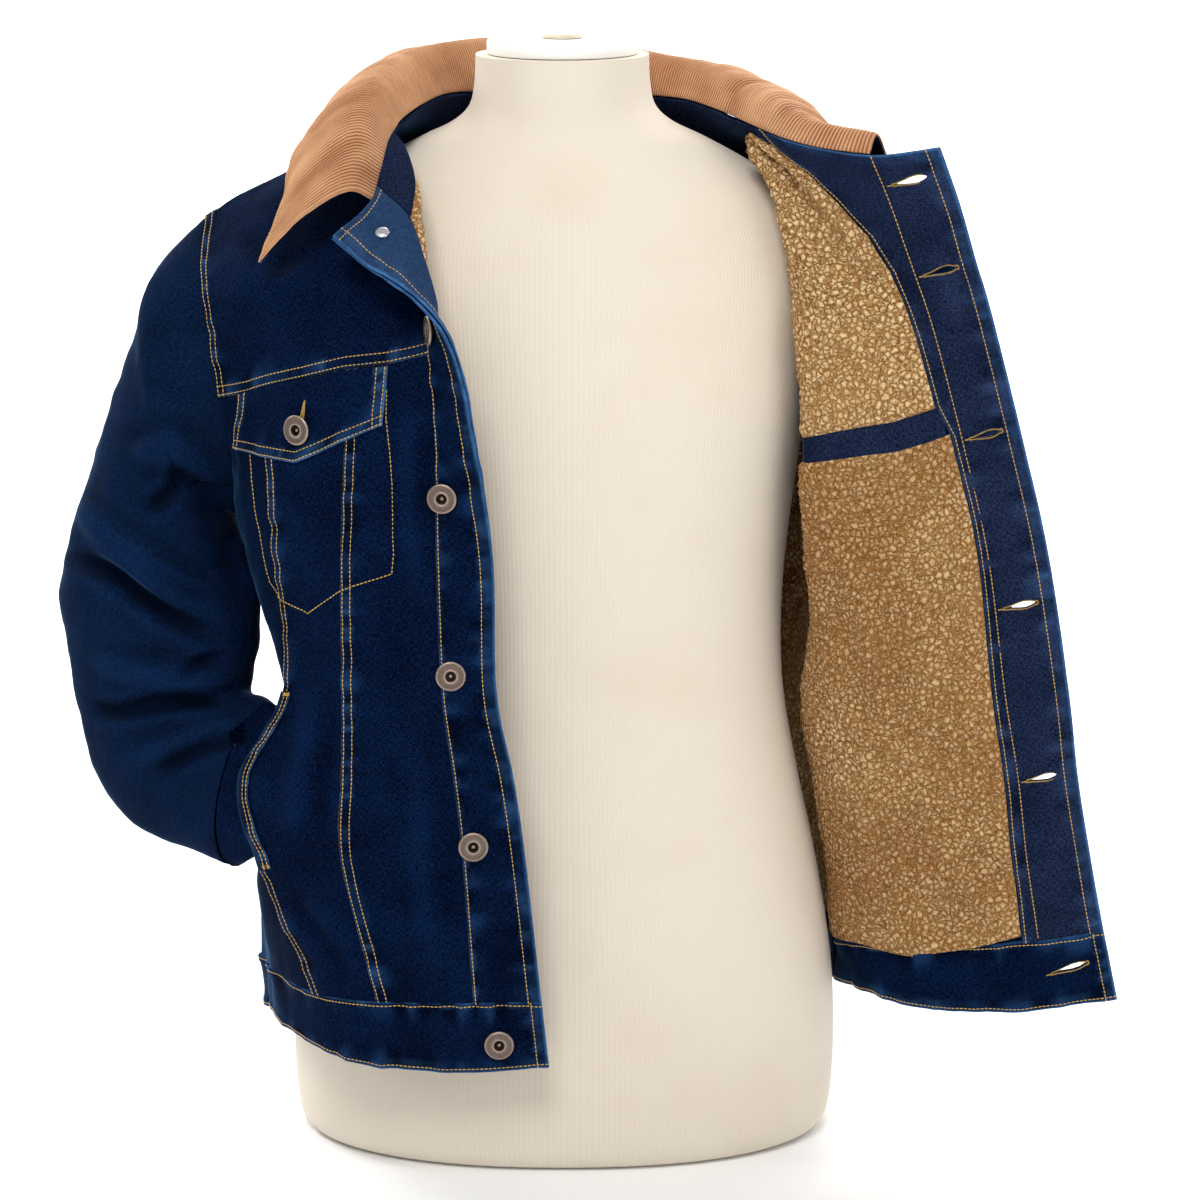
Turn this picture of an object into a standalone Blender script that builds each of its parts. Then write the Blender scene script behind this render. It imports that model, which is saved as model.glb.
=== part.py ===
"""A pile-lined denim trucker jacket on a limbless dress form.

Sizes in the tables are millimetres and the built objects are metres. +X is the viewer's right, +Y goes away
from the viewer and +Z is up. The origin is the middle of the form's flat base. The wearer's right front
hangs closed on -X, and the left front on +X is folded open, so that its lining faces the viewer.

The cloth follows three draped surfaces, the two fronts and the back. Each is a table of levels, from the
bottom of the waistband up to the neck, and a level has one point on each rail, which is a seam or a line
between seams. Every cut piece is a stretch of a surface between rails and levels, given its thickness.
"""

from math import cos, pi, radians, sin

import bmesh
import bpy
from mathutils import Vector

MM = 0.001

# Cloth thicknesses, as distances from the draped surface between denim and lining. Outwards is positive.
DENIM = (0.2, 1.8)
BAND = (-1.5, 1.8)
LINING = (-5.7, -0.7)
FACING = (-2.1, -0.5)
POCKET_STRIP = (-2.5, -0.5)
OVERLAY = (2.7, 4.3)
WELT = (2.7, 3.9)
SLEEVE = (-0.8, 1.2)
# How far a piece's border is held in: across the rails, along the levels.
SEAM_GAP = (0.2, 0.2)
SHOULDER_GAP = (0.4, 0.6)
BAND_GAP = (0.8, 0.2)
FACING_GAP = (0.6, 2.2)
FRONT_FACING_GAP = (0.3, 1.5)
LINING_GAP = (5.0, 1.5)
POCKET_GAP = (3.0, 0.2)

# Mesh lines from rail to rail, and from level to level, with fewer on the long straight fall below the chest.
# The right front has more of them where its top corner turns over.
RAIL_STEP = 0.5
LEVEL_KNOTS = (0, 1, 2, 2.5, 3, 4, 4.5, 5, 5.5, 6, 6.25, 6.5, 7, 7.5, 8, 8.5, 9, 9.5, 10)
LAPEL_RAIL_KNOTS = (4.25, 4.75)
LAPEL_LEVEL_KNOTS = (9.25, 9.75)
# No mesh line lies closer than this to a piece's end, in rails or levels.
KNOT_CLEARANCE = 0.12

RAILS = ("side", "side_mid", "seam_2", "panel_mid", "seam_1", "roll_line", "placket", "edge")
LEVELS = ("band_edge", "hem", "pocket_foot", "pocket_mid", "pocket_top", "chest", "flap", "yoke", "mid",
          "roll", "neck")

# Right front, worn closed, its top corner turned out. A row is a level, with one point (x, y, z) a rail.
RIGHT_FRONT = {
    "band_edge": ((-222, -8, 90), (-207, -76, 98), (-177, -128, 97), (-153, -150, 94),
                  (-127, -160, 92), (-92, -166, 91), (-57, -168, 92), (-9, -168, 95)),
    "hem": ((-225, -8, 128), (-209, -78, 137), (-179, -130, 138), (-155, -152, 140),
            (-132, -162, 141), (-97, -168, 142), (-63, -170, 143), (-14, -168, 143)),
    "pocket_foot": ((-223, 0, 200), (-222, -60, 212), (-215, -118, 228), (-186, -146, 239),
                    (-156, -160, 245), (-113, -168, 247), (-70, -171, 248), (-25, -168, 248)),
    "pocket_mid": ((-210, 8, 262), (-192, -42, 278), (-230, -108, 291), (-192, -145, 301),
                   (-155, -160, 306), (-115, -168, 307), (-76, -170, 308), (-33, -167, 307)),
    "pocket_top": ((-203, 10, 340), (-202, -50, 349), (-197, -112, 358), (-176, -138, 365),
                   (-154, -154, 368), (-118, -164, 370), (-84, -168, 371), (-45, -165, 371)),
    "chest": ((-238, -10, 465), (-226, -66, 455), (-202, -115, 457), (-178, -138, 462),
              (-154, -152, 465), (-120, -162, 466), (-87, -166, 467), (-47, -165, 467)),
    "flap": ((-236, -62, 522), (-225, -90, 527), (-208, -114, 532), (-178, -135, 537),
             (-150, -148, 542), (-118, -157, 547), (-87, -163, 552), (-59, -182, 554)),
    "yoke": ((-243, -72, 567), (-224, -94, 574), (-203, -112, 583), (-175, -132, 593),
             (-148, -146, 602), (-118, -156, 607), (-90, -161, 611), (-73, -192, 619)),
    "mid": ((-254, -55, 631), (-231, -80, 641), (-204, -98, 650), (-174, -112, 658),
            (-145, -122, 662), (-115, -132, 661), (-88, -148, 650), (-106, -182, 656)),
    "roll": ((-258, -30, 660), (-229, -42, 682), (-196, -52, 704), (-160, -60, 724),
             (-122, -66, 740), (-104, -96, 722), (-108, -138, 690), (-134, -163, 670)),
    "neck": ((-258, -5, 683), (-222, -13, 704), (-186, -22, 722), (-150, -32, 740),
             (-114, -42, 757), (-123, -75, 743), (-131, -112, 709), (-157, -148, 687)),
}

# Left front, folded open: it comes forward off the side seam, rolls over and lies out to the viewer's right.
LEFT_FRONT = {
    "band_edge": ((206, 20, 99), (218, -18, 106), (232, -48, 109), (250, -62, 107),
                  (273, -72, 106), (312, -84, 108), (352, -92, 113), (404, -100, 124)),
    "hem": ((208, 22, 136), (206, -14, 142), (221, -44, 148), (241, -61, 150),
            (264, -74, 154), (304, -88, 160), (345, -98, 167), (392, -106, 177)),
    "pocket_foot": ((209, 28, 195), (199, -16, 205), (216, -51, 213), (240, -67, 218),
                    (266, -79, 222), (300, -92, 225), (335, -102, 228), (381, -108, 232)),
    "pocket_mid": ((202, 28, 258), (188, -16, 268), (204, -53, 277), (232, -73, 282),
                   (259, -84, 285), (292, -96, 288), (327, -105, 290), (370, -110, 293)),
    "pocket_top": ((197, 24, 330), (180, -20, 338), (192, -57, 346), (217, -79, 351),
                   (246, -91, 354), (280, -102, 356), (315, -108, 358), (361, -114, 360)),
    "chest": ((232, -8, 465), (199, -42, 455), (178, -72, 449), (200, -93, 450),
              (233, -102, 451), (268, -108, 453), (301, -113, 455), (344, -118, 458)),
    "flap": ((236, -38, 520), (205, -58, 523), (174, -80, 527), (188, -98, 530),
             (214, -106, 532), (249, -111, 533), (282, -115, 535), (324, -120, 540)),
    "yoke": ((240, -46, 567), (209, -57, 578), (178, -70, 592), (170, -90, 603),
             (195, -105, 612), (228, -112, 618), (258, -117, 622), (300, -122, 630)),
    "mid": ((252, -34, 630), (223, -44, 645), (192, -54, 658), (165, -67, 667),
            (164, -90, 664), (201, -104, 661), (243, -115, 664), (288, -121, 668)),
    "roll": ((257, -18, 662), (227, -25, 686), (197, -32, 704), (170, -40, 718),
             (148, -60, 722), (186, -92, 706), (229, -110, 703), (276, -120, 708)),
    "neck": ((258, 0, 685), (225, -7, 705), (193, -14, 722), (163, -22, 738),
             (135, -30, 752), (165, -70, 744), (214, -106, 740), (262, -118, 746)),
}

# Back. Its end rails are the fronts' side rails below the arms, and its neck level ends on their shoulders.
BACK_RAILS = ("side_r", "mid_r", "seam_r", "neck_r", "centre", "neck_l", "seam_l", "mid_l", "side_l")
BACK = {
    "band_edge": ((-222, -8, 90), (-190, 75, 96), (-118, 130, 98), (-60, 144, 98), (0, 148, 98),
                  (60, 145, 98), (118, 132, 98), (190, 84, 98), (206, 20, 99)),
    "hem": ((-225, -8, 128), (-192, 76, 138), (-118, 131, 142), (-60, 146, 143), (0, 150, 143),
            (60, 147, 143), (118, 133, 142), (192, 86, 140), (208, 22, 136)),
    "pocket_foot": ((-223, 0, 200), (-190, 78, 205), (-117, 132, 210), (-60, 147, 211), (0, 151, 211),
                    (60, 148, 211), (117, 134, 210), (190, 86, 207), (209, 28, 195)),
    "pocket_mid": ((-210, 8, 262), (-184, 78, 268), (-116, 130, 272), (-60, 145, 273), (0, 149, 273),
                   (60, 146, 273), (116, 132, 272), (184, 85, 269), (202, 28, 258)),
    "pocket_top": ((-203, 10, 340), (-180, 76, 345), (-114, 127, 349), (-60, 141, 350), (0, 145, 350),
                   (60, 142, 350), (114, 129, 349), (179, 83, 346), (197, 24, 330)),
    "chest": ((-238, -10, 465), (-190, 72, 462), (-117, 130, 462), (-60, 144, 462), (0, 147, 462),
              (60, 144, 462), (117, 130, 462), (188, 76, 462), (232, -8, 465)),
    "flap": ((-229, 42, 520), (-190, 88, 522), (-119, 132, 524), (-60, 144, 525), (0, 146, 525),
             (60, 144, 525), (119, 132, 524), (190, 90, 522), (228, 44, 520)),
    "yoke": ((-237, 56, 575), (-193, 95, 577), (-122, 129, 579), (-60, 140, 580), (0, 142, 580),
             (60, 140, 580), (122, 129, 579), (193, 95, 577), (238, 57, 575)),
    "mid": ((-250, 42, 635), (-200, 78, 645), (-124, 108, 652), (-62, 119, 655), (0, 122, 655),
            (62, 119, 655), (126, 108, 652), (202, 79, 645), (252, 42, 635)),
    "roll": ((-256, 16, 668), (-198, 38, 700), (-124, 54, 722), (-72, 82, 726), (0, 98, 722),
             (76, 82, 726), (132, 56, 720), (202, 40, 698), (257, 18, 668)),
    "neck": ((-258, -5, 683), (-186, -22, 722), (-114, -42, 757), (-82, 36, 768), (0, 74, 764),
             (86, 38, 764), (135, -30, 752), (193, -14, 722), (258, 0, 685)),
}


def numbers(names, *wanted):
    """The places of the wanted names in a row of names."""
    return (names.index(name) for name in wanted)


HEM, CHEST, YOKE, ROLL, NECK = numbers(LEVELS, "hem", "chest", "yoke", "roll", "neck")
SIDE, SEAM_2, SEAM_1, PLACKET, EDGE = numbers(RAILS, "side", "seam_2", "seam_1", "placket", "edge")
SIDE_R, SEAM_R, SEAM_L, SIDE_L = numbers(BACK_RAILS, "side_r", "seam_r", "seam_l", "side_l")
# A facing is wider than its band by half the way from the placket seam to the roll line.
FACING_RAIL = PLACKET - 0.5
# Linings start this far above the waistband's seam, in levels, and the right neck facing this far past the
# shoulder's end, in rails.
LINING_FOOT = HEM + 0.05
NECK_FACING_RAIL = SEAM_1 + 0.5

# How far the side front and the lining run in behind the hand pocket's open mouth, on two of the rails.
RIGHT_TUCK = {
    ("seam_2", "pocket_foot"): (9, 10, -2),
    ("seam_2", "pocket_mid"): (64, 24, -6),
    ("seam_2", "pocket_top"): (9, 9, -3),
    ("panel_mid", "pocket_foot"): (2, 5, 0),
    ("panel_mid", "pocket_mid"): (8, 15, 0),
    ("panel_mid", "pocket_top"): (3, 8, 0),
}

# Collar, from the right front's end round the neck to the left front's end: its crest, its leaf's middle and
# its edge at each place along the neck seam.
COLLAR = (
    # crest             leaf               edge
    ((-148, -126, 716), (-180, -128, 697), (-209, -122, 666)),
    ((-144, -90, 756), (-172, -98, 736), (-194, -98, 706)),
    ((-132, -48, 782), (-162, -60, 768), (-184, -70, 738)),
    ((-94, 38, 800), (-122, 46, 790), (-142, 50, 757)),
    ((0, 86, 799), (0, 104, 788), (0, 120, 751)),
    ((96, 44, 787), (122, 54, 780), (146, 60, 750)),
    ((146, -26, 772), (174, -12, 764), (198, -2, 738)),
    ((176, -64, 758), (192, -50, 746), (206, -38, 716)),
    ((220, -94, 752), (228, -82, 734), (246, -72, 682)),
)
COLLAR_START = 0.06
TOP_COLLAR = (0.2, 2.4)
UNDER_COLLAR = (-1.8, -0.2)

# Sleeves as sections down the arm: the point at the inner side, the point at the outer side, half depth.
RIGHT_SLEEVE = (
    # inner side         outer side          half depth
    ((-246, -16, 470), (-289, 4, 646), 64),
    ((-245, -14, 453), (-306, 5, 600), 63),
    ((-242, -12, 435), (-334, 8, 525), 62),
    ((-235, -10, 415), (-357, 10, 458), 60),
    ((-225, -12, 392), (-370, 10, 405), 58),
    ((-226, -18, 368), (-365, 8, 370), 56),
    ((-230, -28, 351), (-356, 0, 322), 54),
    ((-234, -38, 341), (-342, -8, 272), 52),
    ((-229, -48, 339), (-313, -24, 236), 46),
    ((-221, -56, 339), (-268, -48, 222), 36),
    ((-213, -72, 338), (-242, -70, 217), 28),
)
LEFT_SLEEVE = (
    ((244, -10, 471), (284, 0, 646), 58),
    ((246, -8, 450), (297, 6, 600), 57),
    ((245, 0, 425), (311, 16, 530), 56),
    ((238, 8, 390), (322, 30, 460), 54),
    ((233, 16, 350), (330, 42, 400), 52),
    ((231, 20, 315), (332, 46, 340), 51),
    ((234, 18, 275), (328, 44, 285), 50),
    ((240, 14, 230), (324, 38, 230), 48),
    ((247, 8, 185), (320, 30, 180), 45),
    ((253, 2, 152), (316, 22, 146), 42),
)
# Cuffs carry on from the sleeves' last sections.
RIGHT_CUFF = (
    ((-211, -74, 337), (-239, -72, 219), 27),
    ((-202, -86, 330), (-227, -84, 230), 22),
    ((-193, -97, 314), (-212, -95, 240), 16),
)
LEFT_CUFF = (
    ((254, 2, 149), (316, 22, 143), 41.5),
    ((257, -1, 126), (314, 18, 120), 39),
    ((259, -4, 104), (312, 15, 98), 36),
)
SLEEVE_SIDES = 20
SLEEVE_START = 2.8
SLEEVE_SEAM = 0.2
# Angles round a section that face the armhole's own points, from the underarm to the shoulder, and how
# closely the first sections keep to them.
ARMHOLE_ANGLES = (0, 44, 61, 75, 87, 104, 121, 131, 141, 154, 180)
ARMHOLE_SHARES = (1.0, 0.5)
# A top sleeve runs between these sides, counted from the underarm by way of the front. The rest is under
# sleeve.
TOP_SLEEVE = (4, 16)

# Dress form, from its base up: height, half width, reach forward, reach back.
FORM = (
    # z   half width  front  back
    (0, 186, 118, 114),
    (6, 196, 127, 123),
    (24, 201, 132, 128),
    (70, 203, 134, 130),
    (130, 200, 132, 128),
    (200, 189, 126, 120),
    (270, 174, 120, 111),
    (340, 162, 117, 105),
    (410, 161, 119, 104),
    (480, 168, 125, 107),
    (550, 178, 128, 111),
    (600, 184, 122, 112),
    (639, 190, 110, 106),
    (667.5, 189, 96, 100),
    (689.5, 178, 84, 94),
    (709.5, 156, 75, 86),
    (725.5, 130, 68, 77),
    (740.5, 102, 64, 68),
    (751, 80, 62, 60),
    (763, 67, 61, 56.5),
    (780, 63, 60.5, 55.5),
    (800, 62, 60, 55),
)
FORM_SIDES = 24
FORM_SQUARENESS = 2.25
NECK_CAP_RADIUS = 54
NECK_MIDDLE = -2
NECK_CAP_HEIGHT = 11
KNOB = ((0, 0), (15, 0), (15, 2), (11, 3.5), (0, 4.5))
CAP_LIFT = 0.3

# Tack buttons as turned profiles: radius, height. A short shank stands on the cloth under a dished cap.
BUTTON = ((0, 0), (3.0, 0), (3.0, 2.2), (10.6, 2.5), (10.4, 4.4), (7.5, 4.8), (3.4, 3.4), (0, 3.4))
RIVET = ((0, 0), (4.8, 0), (4.8, 0.7), (3.6, 1.3), (0, 1.4))
BUTTON_SIDES = 12
BUTTON_SEAT = 0.35
# Front buttons: place across the band from the placket seam to the edge, and the level up the front. The last
# is on the turned-out corner, so its cap is under the corner and only its rivet faces out.
FRONT_BUTTONS = ((0.33, 0.48), (0.2, 2.17), (0.2, 4.15), (0.17, 5.47), (0.3, 7.3), (0.35, 9.3))
FLAP_BUTTON = (2.9, 6.25)
CUFF_BUTTON_SIDE = 5

# Buttonholes of the left band: levels up the front, the first in the waistband, and the slit's ends.
BUTTONHOLES = (0.6, 3.03, 4.62, 6.07, 7.8, 9.43)
HOLE_ENDS = (0.2, 0.66)
HOLE_HALF_HEIGHT = 2.4

# Chest pocket flap on a front's own rails and levels: (rail, level) of its corners.
FLAP_CORNERS = {"top_in": (1.35, 6.9), "top_out": (4.9, 6.9), "foot_in": (1.2, 6.1), "foot_mid": (2.9, 5.85),
                "foot_out": (4.8, 6.1)}
FLAP_SHIFT = {"right": 0, "left": 0.45}
FLAP_STEPS = (8, 3)
# Hand pocket welt, past the rail seam_2, and waist tabs on the back's waistband, by rail and level.
WELT_RAILS = (0.03, 0.38)
WELT_LEVELS = (2.0, 4.0)
WELT_STEPS = (1, 8)
TAB_RAILS = {"right": (0.1, 1.3), "left": (7.9, 6.7)}
TAB_LEVELS = (0.3, 0.85)
TAB_BUTTON = 0.85
# The inner pocket's mouth on the left lining, between these levels.
INNER_POCKET = (6.0, 6.25)

MATERIALS = {
    # name: colour, roughness, metallic
    "denim": ((0.016, 0.035, 0.10), 0.85, 0.0),
    "facing_denim": ((0.012, 0.024, 0.075), 0.85, 0.0),
    "corduroy": ((0.33, 0.17, 0.075), 0.9, 0.0),
    "pile": ((0.60, 0.40, 0.17), 0.95, 0.0),
    "jersey": ((0.82, 0.77, 0.66), 0.8, 0.0),
    "button_brass": ((0.36, 0.25, 0.19), 0.4, 1.0),
    "knob_wood": ((0.62, 0.45, 0.22), 0.5, 0.0),
}


def clear_scene():
    """Remove every object that the file opens with."""
    for thing in list(bpy.data.objects):
        bpy.data.objects.remove(thing, do_unlink=True)


def make_material(part_name, finish):
    """A Principled material of its own for one part."""
    colour, roughness, metallic = MATERIALS[finish]
    material = bpy.data.materials.new(part_name)
    material.use_nodes = True
    shader = material.node_tree.nodes["Principled BSDF"]
    shader.inputs["Base Color"].default_value = (*colour, 1.0)
    shader.inputs["Roughness"].default_value = roughness
    shader.inputs["Metallic"].default_value = metallic
    material.diffuse_color = (*colour, 1.0)
    return material


def add_part(part_name, finish, bm, smooth=True):
    """Turn a bmesh in millimetres into a named object in metres."""
    bmesh.ops.recalc_face_normals(bm, faces=bm.faces)
    bmesh.ops.scale(bm, vec=(MM, MM, MM), verts=bm.verts)
    mesh = bpy.data.meshes.new(part_name)
    bm.to_mesh(mesh)
    bm.free()
    if smooth:
        mesh.shade_smooth()
        mesh.set_sharp_from_angle(angle=radians(50))
    mesh.materials.append(make_material(part_name, finish))
    part = bpy.data.objects.new(part_name, mesh)
    bpy.context.collection.objects.link(part)
    return part


def curve_point(points, t):
    """A point on the smooth curve through the given points; t counts the points."""
    last = len(points) - 1
    i = min(max(int(t), 0), last - 1)
    f = t - i
    a, b = points[i], points[i + 1]
    before = points[i - 1] if i > 0 else a * 2 - b
    after = points[i + 2] if i + 2 <= last else b * 2 - a
    slope_a = (b - before) / 2
    slope_b = (after - a) / 2
    f2, f3 = f * f, f * f * f
    return (a * (2 * f3 - 3 * f2 + 1) + slope_a * (f3 - 2 * f2 + f)
            + b * (3 * f2 - 2 * f3) + slope_b * (f3 - f2))


def cornered_point(points, t, corner):
    """As curve_point, but the curve may turn sharply at the point numbered corner."""
    if corner is None:
        return curve_point(points, t)
    if t <= corner:
        return curve_point(points[:corner + 1], t)
    return curve_point(points[corner:], t - corner)


def cell_share(knots, place):
    """The mesh cell that a place lies in, and how far across that cell it lies."""
    cell = max(k for k in range(len(knots) - 1) if k == 0 or knots[k] <= place)
    return cell, (place - knots[cell]) / (knots[cell + 1] - knots[cell])


def near(place, mark):
    """1 at the mark, falling to 0 one rail or level away."""
    return max(0, 1 - abs(place - mark))


class Drape:
    """A draped surface through a table of levels, each with one point a rail."""

    def __init__(self, table, outward, level_knots, rail_corners=(), level_corners=None, tuck=None,
                 more_rails=()):
        self.rails = [[Vector(row[i]) for row in table] for i in range(len(table[0]))]
        self.tuck = tuck or {}
        self.outward = outward
        self.rail_corners = rail_corners
        self.level_corners = level_corners or {}
        self.last_rail = len(self.rails) - 1
        self.last_level = len(table) - 1
        regular = [k * RAIL_STEP for k in range(int(self.last_rail / RAIL_STEP) + 1)]
        self.rail_knots = sorted([*regular, *more_rails])
        self.level_knots = level_knots
        self.knots = {}

    def point(self, u, v):
        """The surface at rail u and level v."""
        return self.smooth_point(u, v) + sum((Vector(move) * near(u, rail) * near(v, level)
                                              for (rail, level), move in self.tuck.items()), Vector())

    def smooth_point(self, u, v):
        """The surface before any tuck."""
        row = [cornered_point(rail, v, self.level_corners.get(i)) for i, rail in enumerate(self.rails)]
        start = 0
        for corner in self.rail_corners:
            if u <= corner:
                return curve_point(row[start:corner + 1], u - start)
            start = corner
        return curve_point(row[start:], u - start)

    def slopes(self, u, v, step=0.12):
        """Directions along the rails' numbers and up the levels, per unit."""
        u0, u1 = max(u - step, 0), min(u + step, self.last_rail)
        v0, v1 = max(v - step, 0), min(v + step, self.last_level)
        return ((self.point(u1, v) - self.point(u0, v)) / (u1 - u0),
                (self.point(u, v1) - self.point(u, v0)) / (v1 - v0))

    def normal(self, u, v):
        """The direction out through the denim side."""
        along, up = self.slopes(u, v)
        return along.cross(up).normalized() * self.outward

    def knot(self, i, j):
        """The point and the normal where two mesh lines cross."""
        if (i, j) not in self.knots:
            u, v = self.rail_knots[i], self.level_knots[j]
            self.knots[i, j] = (self.point(u, v), self.normal(u, v))
        return self.knots[i, j]

    def across(self, start, end):
        """Mesh lines from one rail to another."""
        return lines(self.rail_knots, start, end)

    def upwards(self, start, end):
        """Mesh lines from one level to another."""
        return lines(self.level_knots, start, end)

    def facing_way(self, u, v, distance, step=0.04):
        """The direction out from the flat facets at a distance."""
        along = self.off(u + step, v, distance) - self.off(u - step, v, distance)
        up = self.off(u, v + step, distance) - self.off(u, v - step, distance)
        return along.cross(up).normalized() * self.outward

    def off(self, u, v, distance):
        """A point at a distance out from the flat facets between the knots."""
        i, s = cell_share(self.rail_knots, u)
        j, t = cell_share(self.level_knots, v)
        first, last = (self.knot(*k) for k in ((i, j), (i + 1, j + 1)))
        middle = self.knot(i + 1, j) if s >= t else self.knot(i, j + 1)
        near, far = min(s, t), max(s, t)
        spots = [point + normal * distance for point, normal in (first, middle, last)]
        return spots[0] * (1 - far) + spots[1] * (far - near) + spots[2] * near


def lines(knots, start, end):
    """Mesh lines from start to end, with the knots that lie well between them."""
    return [start, *(k for k in knots if start + KNOT_CLEARANCE < k < end - KNOT_CLEARANCE), end]


def wall_mesh(rows, holes=(), closed=False):
    """A closed wall from a grid of (outer, inner) point pairs, with open cells left out."""
    bm = bmesh.new()
    outer = [[bm.verts.new(pair[0]) for pair in row] for row in rows]
    inner = [[bm.verts.new(pair[1]) for pair in row] for row in rows]
    up = len(rows) - 1
    across = len(rows[0]) - (0 if closed else 1)
    width = len(rows[0])

    def solid(i, j):
        return (closed or 0 <= i < across) and 0 <= j < up and (i, j) not in holes

    def two_faces(a, b, c, d):
        bm.faces.new((a, b, c))
        bm.faces.new((a, c, d))

    for j in range(up):
        for i in range(across):
            n = (i + 1) % width
            if not solid(i, j):
                continue
            two_faces(outer[j][i], outer[j][n], outer[j + 1][n], outer[j + 1][i])
            two_faces(inner[j][i], inner[j][n], inner[j + 1][n], inner[j + 1][i])
            if not solid(i - 1, j):
                two_faces(outer[j][i], outer[j + 1][i], inner[j + 1][i], inner[j][i])
            if not solid(i + 1, j):
                two_faces(outer[j][n], outer[j + 1][n], inner[j + 1][n], inner[j][n])
            if not solid(i, j - 1):
                two_faces(outer[j][i], outer[j][n], inner[j][n], inner[j][i])
            if not solid(i, j + 1):
                two_faces(outer[j + 1][i], outer[j + 1][n], inner[j + 1][n], inner[j + 1][i])
    loose = [vert for vert in bm.verts if not vert.link_faces]
    bmesh.ops.delete(bm, geom=loose, context="VERTS")
    return bm


def cut_piece(part_name, finish, drape, us, vs, layer, gap=SEAM_GAP, holes=()):
    """A cut piece of cloth on the mesh lines us by vs of a drape, its border held in by the gap."""
    rows = []
    for j, v in enumerate(vs):
        row = []
        for i, u in enumerate(us):
            along, up = drape.slopes(u, v)
            side = (i == 0) - (i == len(us) - 1)
            end = (j == 0) - (j == len(vs) - 1)
            u_in = u + side * gap[0] / max(along.length, 10)
            v_in = v + end * gap[1] / max(up.length, 10)
            row.append(tuple(drape.off(u_in, v_in, distance) for distance in reversed(layer)))
        rows.append(row)
    return add_part(part_name, finish, wall_mesh(rows, holes))


def laid_piece(part_name, finish, drape, place, counts, layer):
    """A piece laid on a drape: place(s, t) gives its rail and level for s and t from 0 to 1."""
    rows = []
    for j in range(counts[1] + 1):
        row = []
        for i in range(counts[0] + 1):
            u, v = place(i / counts[0], j / counts[1])
            row.append(tuple(drape.off(u, v, distance) for distance in reversed(layer)))
        rows.append(row)
    return add_part(part_name, finish, wall_mesh(rows))


def turned_mesh(profile, sides):
    """A solid turned about Z from (radius, height) pairs that start and end on the axis."""
    bm = bmesh.new()
    rings = []
    for radius, height in profile:
        if radius == 0:
            rings.append([bm.verts.new((0, 0, height))])
        else:
            angles = [2 * pi * k / sides for k in range(sides)]
            rings.append([bm.verts.new((radius * cos(a), radius * sin(a), height)) for a in angles])
    for low, high in zip(rings, rings[1:]):
        for k in range(sides):
            n = (k + 1) % sides
            corners = [low[k % len(low)], low[n % len(low)], high[n % len(high)], high[k % len(high)]]
            bm.faces.new(list(dict.fromkeys(corners)))
    return bm


def turned_part(part_name, finish, profile, sides, seat, axis):
    """A turned part that stands on its seat, in millimetres, along an axis."""
    part = add_part(part_name, finish, turned_mesh(profile, sides))
    part.location = Vector(seat) * MM
    part.rotation_mode = "QUATERNION"
    part.rotation_quaternion = Vector(axis).to_track_quat("Z", "Y")
    return part


def table_rows(table):
    """A table's rows in the order of LEVELS."""
    return [table[level] for level in LEVELS]


def right_drape(tuck=None):
    """The right front: its side rail turns at the underarm and its neck line at the shoulder's end."""
    moves = {(RAILS.index(rail), LEVELS.index(level)): move for (rail, level), move in (tuck or {}).items()}
    levels = sorted(LEVEL_KNOTS + LAPEL_LEVEL_KNOTS)
    return Drape(table_rows(RIGHT_FRONT), 1, levels, (SEAM_1,), {SIDE: CHEST}, moves, LAPEL_RAIL_KNOTS)


def left_drape():
    """The left front's surface, with the same corners."""
    return Drape(table_rows(LEFT_FRONT), -1, LEVEL_KNOTS, (SEAM_1,), {SIDE: CHEST})


def back_drape():
    """The back's surface, with the same corners as the fronts'."""
    corners = {SIDE_R: CHEST, SIDE_L: CHEST}
    return Drape(table_rows(BACK), -1, LEVEL_KNOTS, rail_corners=(SEAM_R, SEAM_L), level_corners=corners)


def make_front_panels(hand, drape, side_drape):
    """Denim panels of one front and its yoke."""
    body = drape.upwards(HEM, YOKE)
    cut_piece(f"front_side_{hand}", "denim", side_drape, drape.across(SIDE, SEAM_2), body, DENIM)
    cut_piece(f"front_middle_{hand}", "denim", drape, drape.across(SEAM_2, SEAM_1), body, DENIM)
    cut_piece(f"front_centre_{hand}", "denim", drape, drape.across(SEAM_1, PLACKET), body, DENIM)
    cut_piece(f"front_yoke_{hand}", "denim", drape, drape.across(SIDE, PLACKET), drape.upwards(YOKE, NECK),
              DENIM, SHOULDER_GAP)


def make_button_band(drape):
    """The right front's button band, the facing behind it and its stretch of waistband."""
    cut_piece("button_band", "denim", drape, drape.across(PLACKET, EDGE), drape.upwards(HEM, NECK), DENIM)
    cut_piece("facing_right", "facing_denim", drape, drape.across(FACING_RAIL, EDGE),
              drape.upwards(HEM, NECK), FACING, FRONT_FACING_GAP)
    cut_piece("waistband_right", "denim", drape, drape.across(SIDE, EDGE), [0, 1], BAND, BAND_GAP)


def hole_levels(drape, level):
    """The two levels that bound a buttonhole."""
    half = HOLE_HALF_HEIGHT / drape.slopes(PLACKET + 0.5, level)[1].length
    return level - half, level + half


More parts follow.
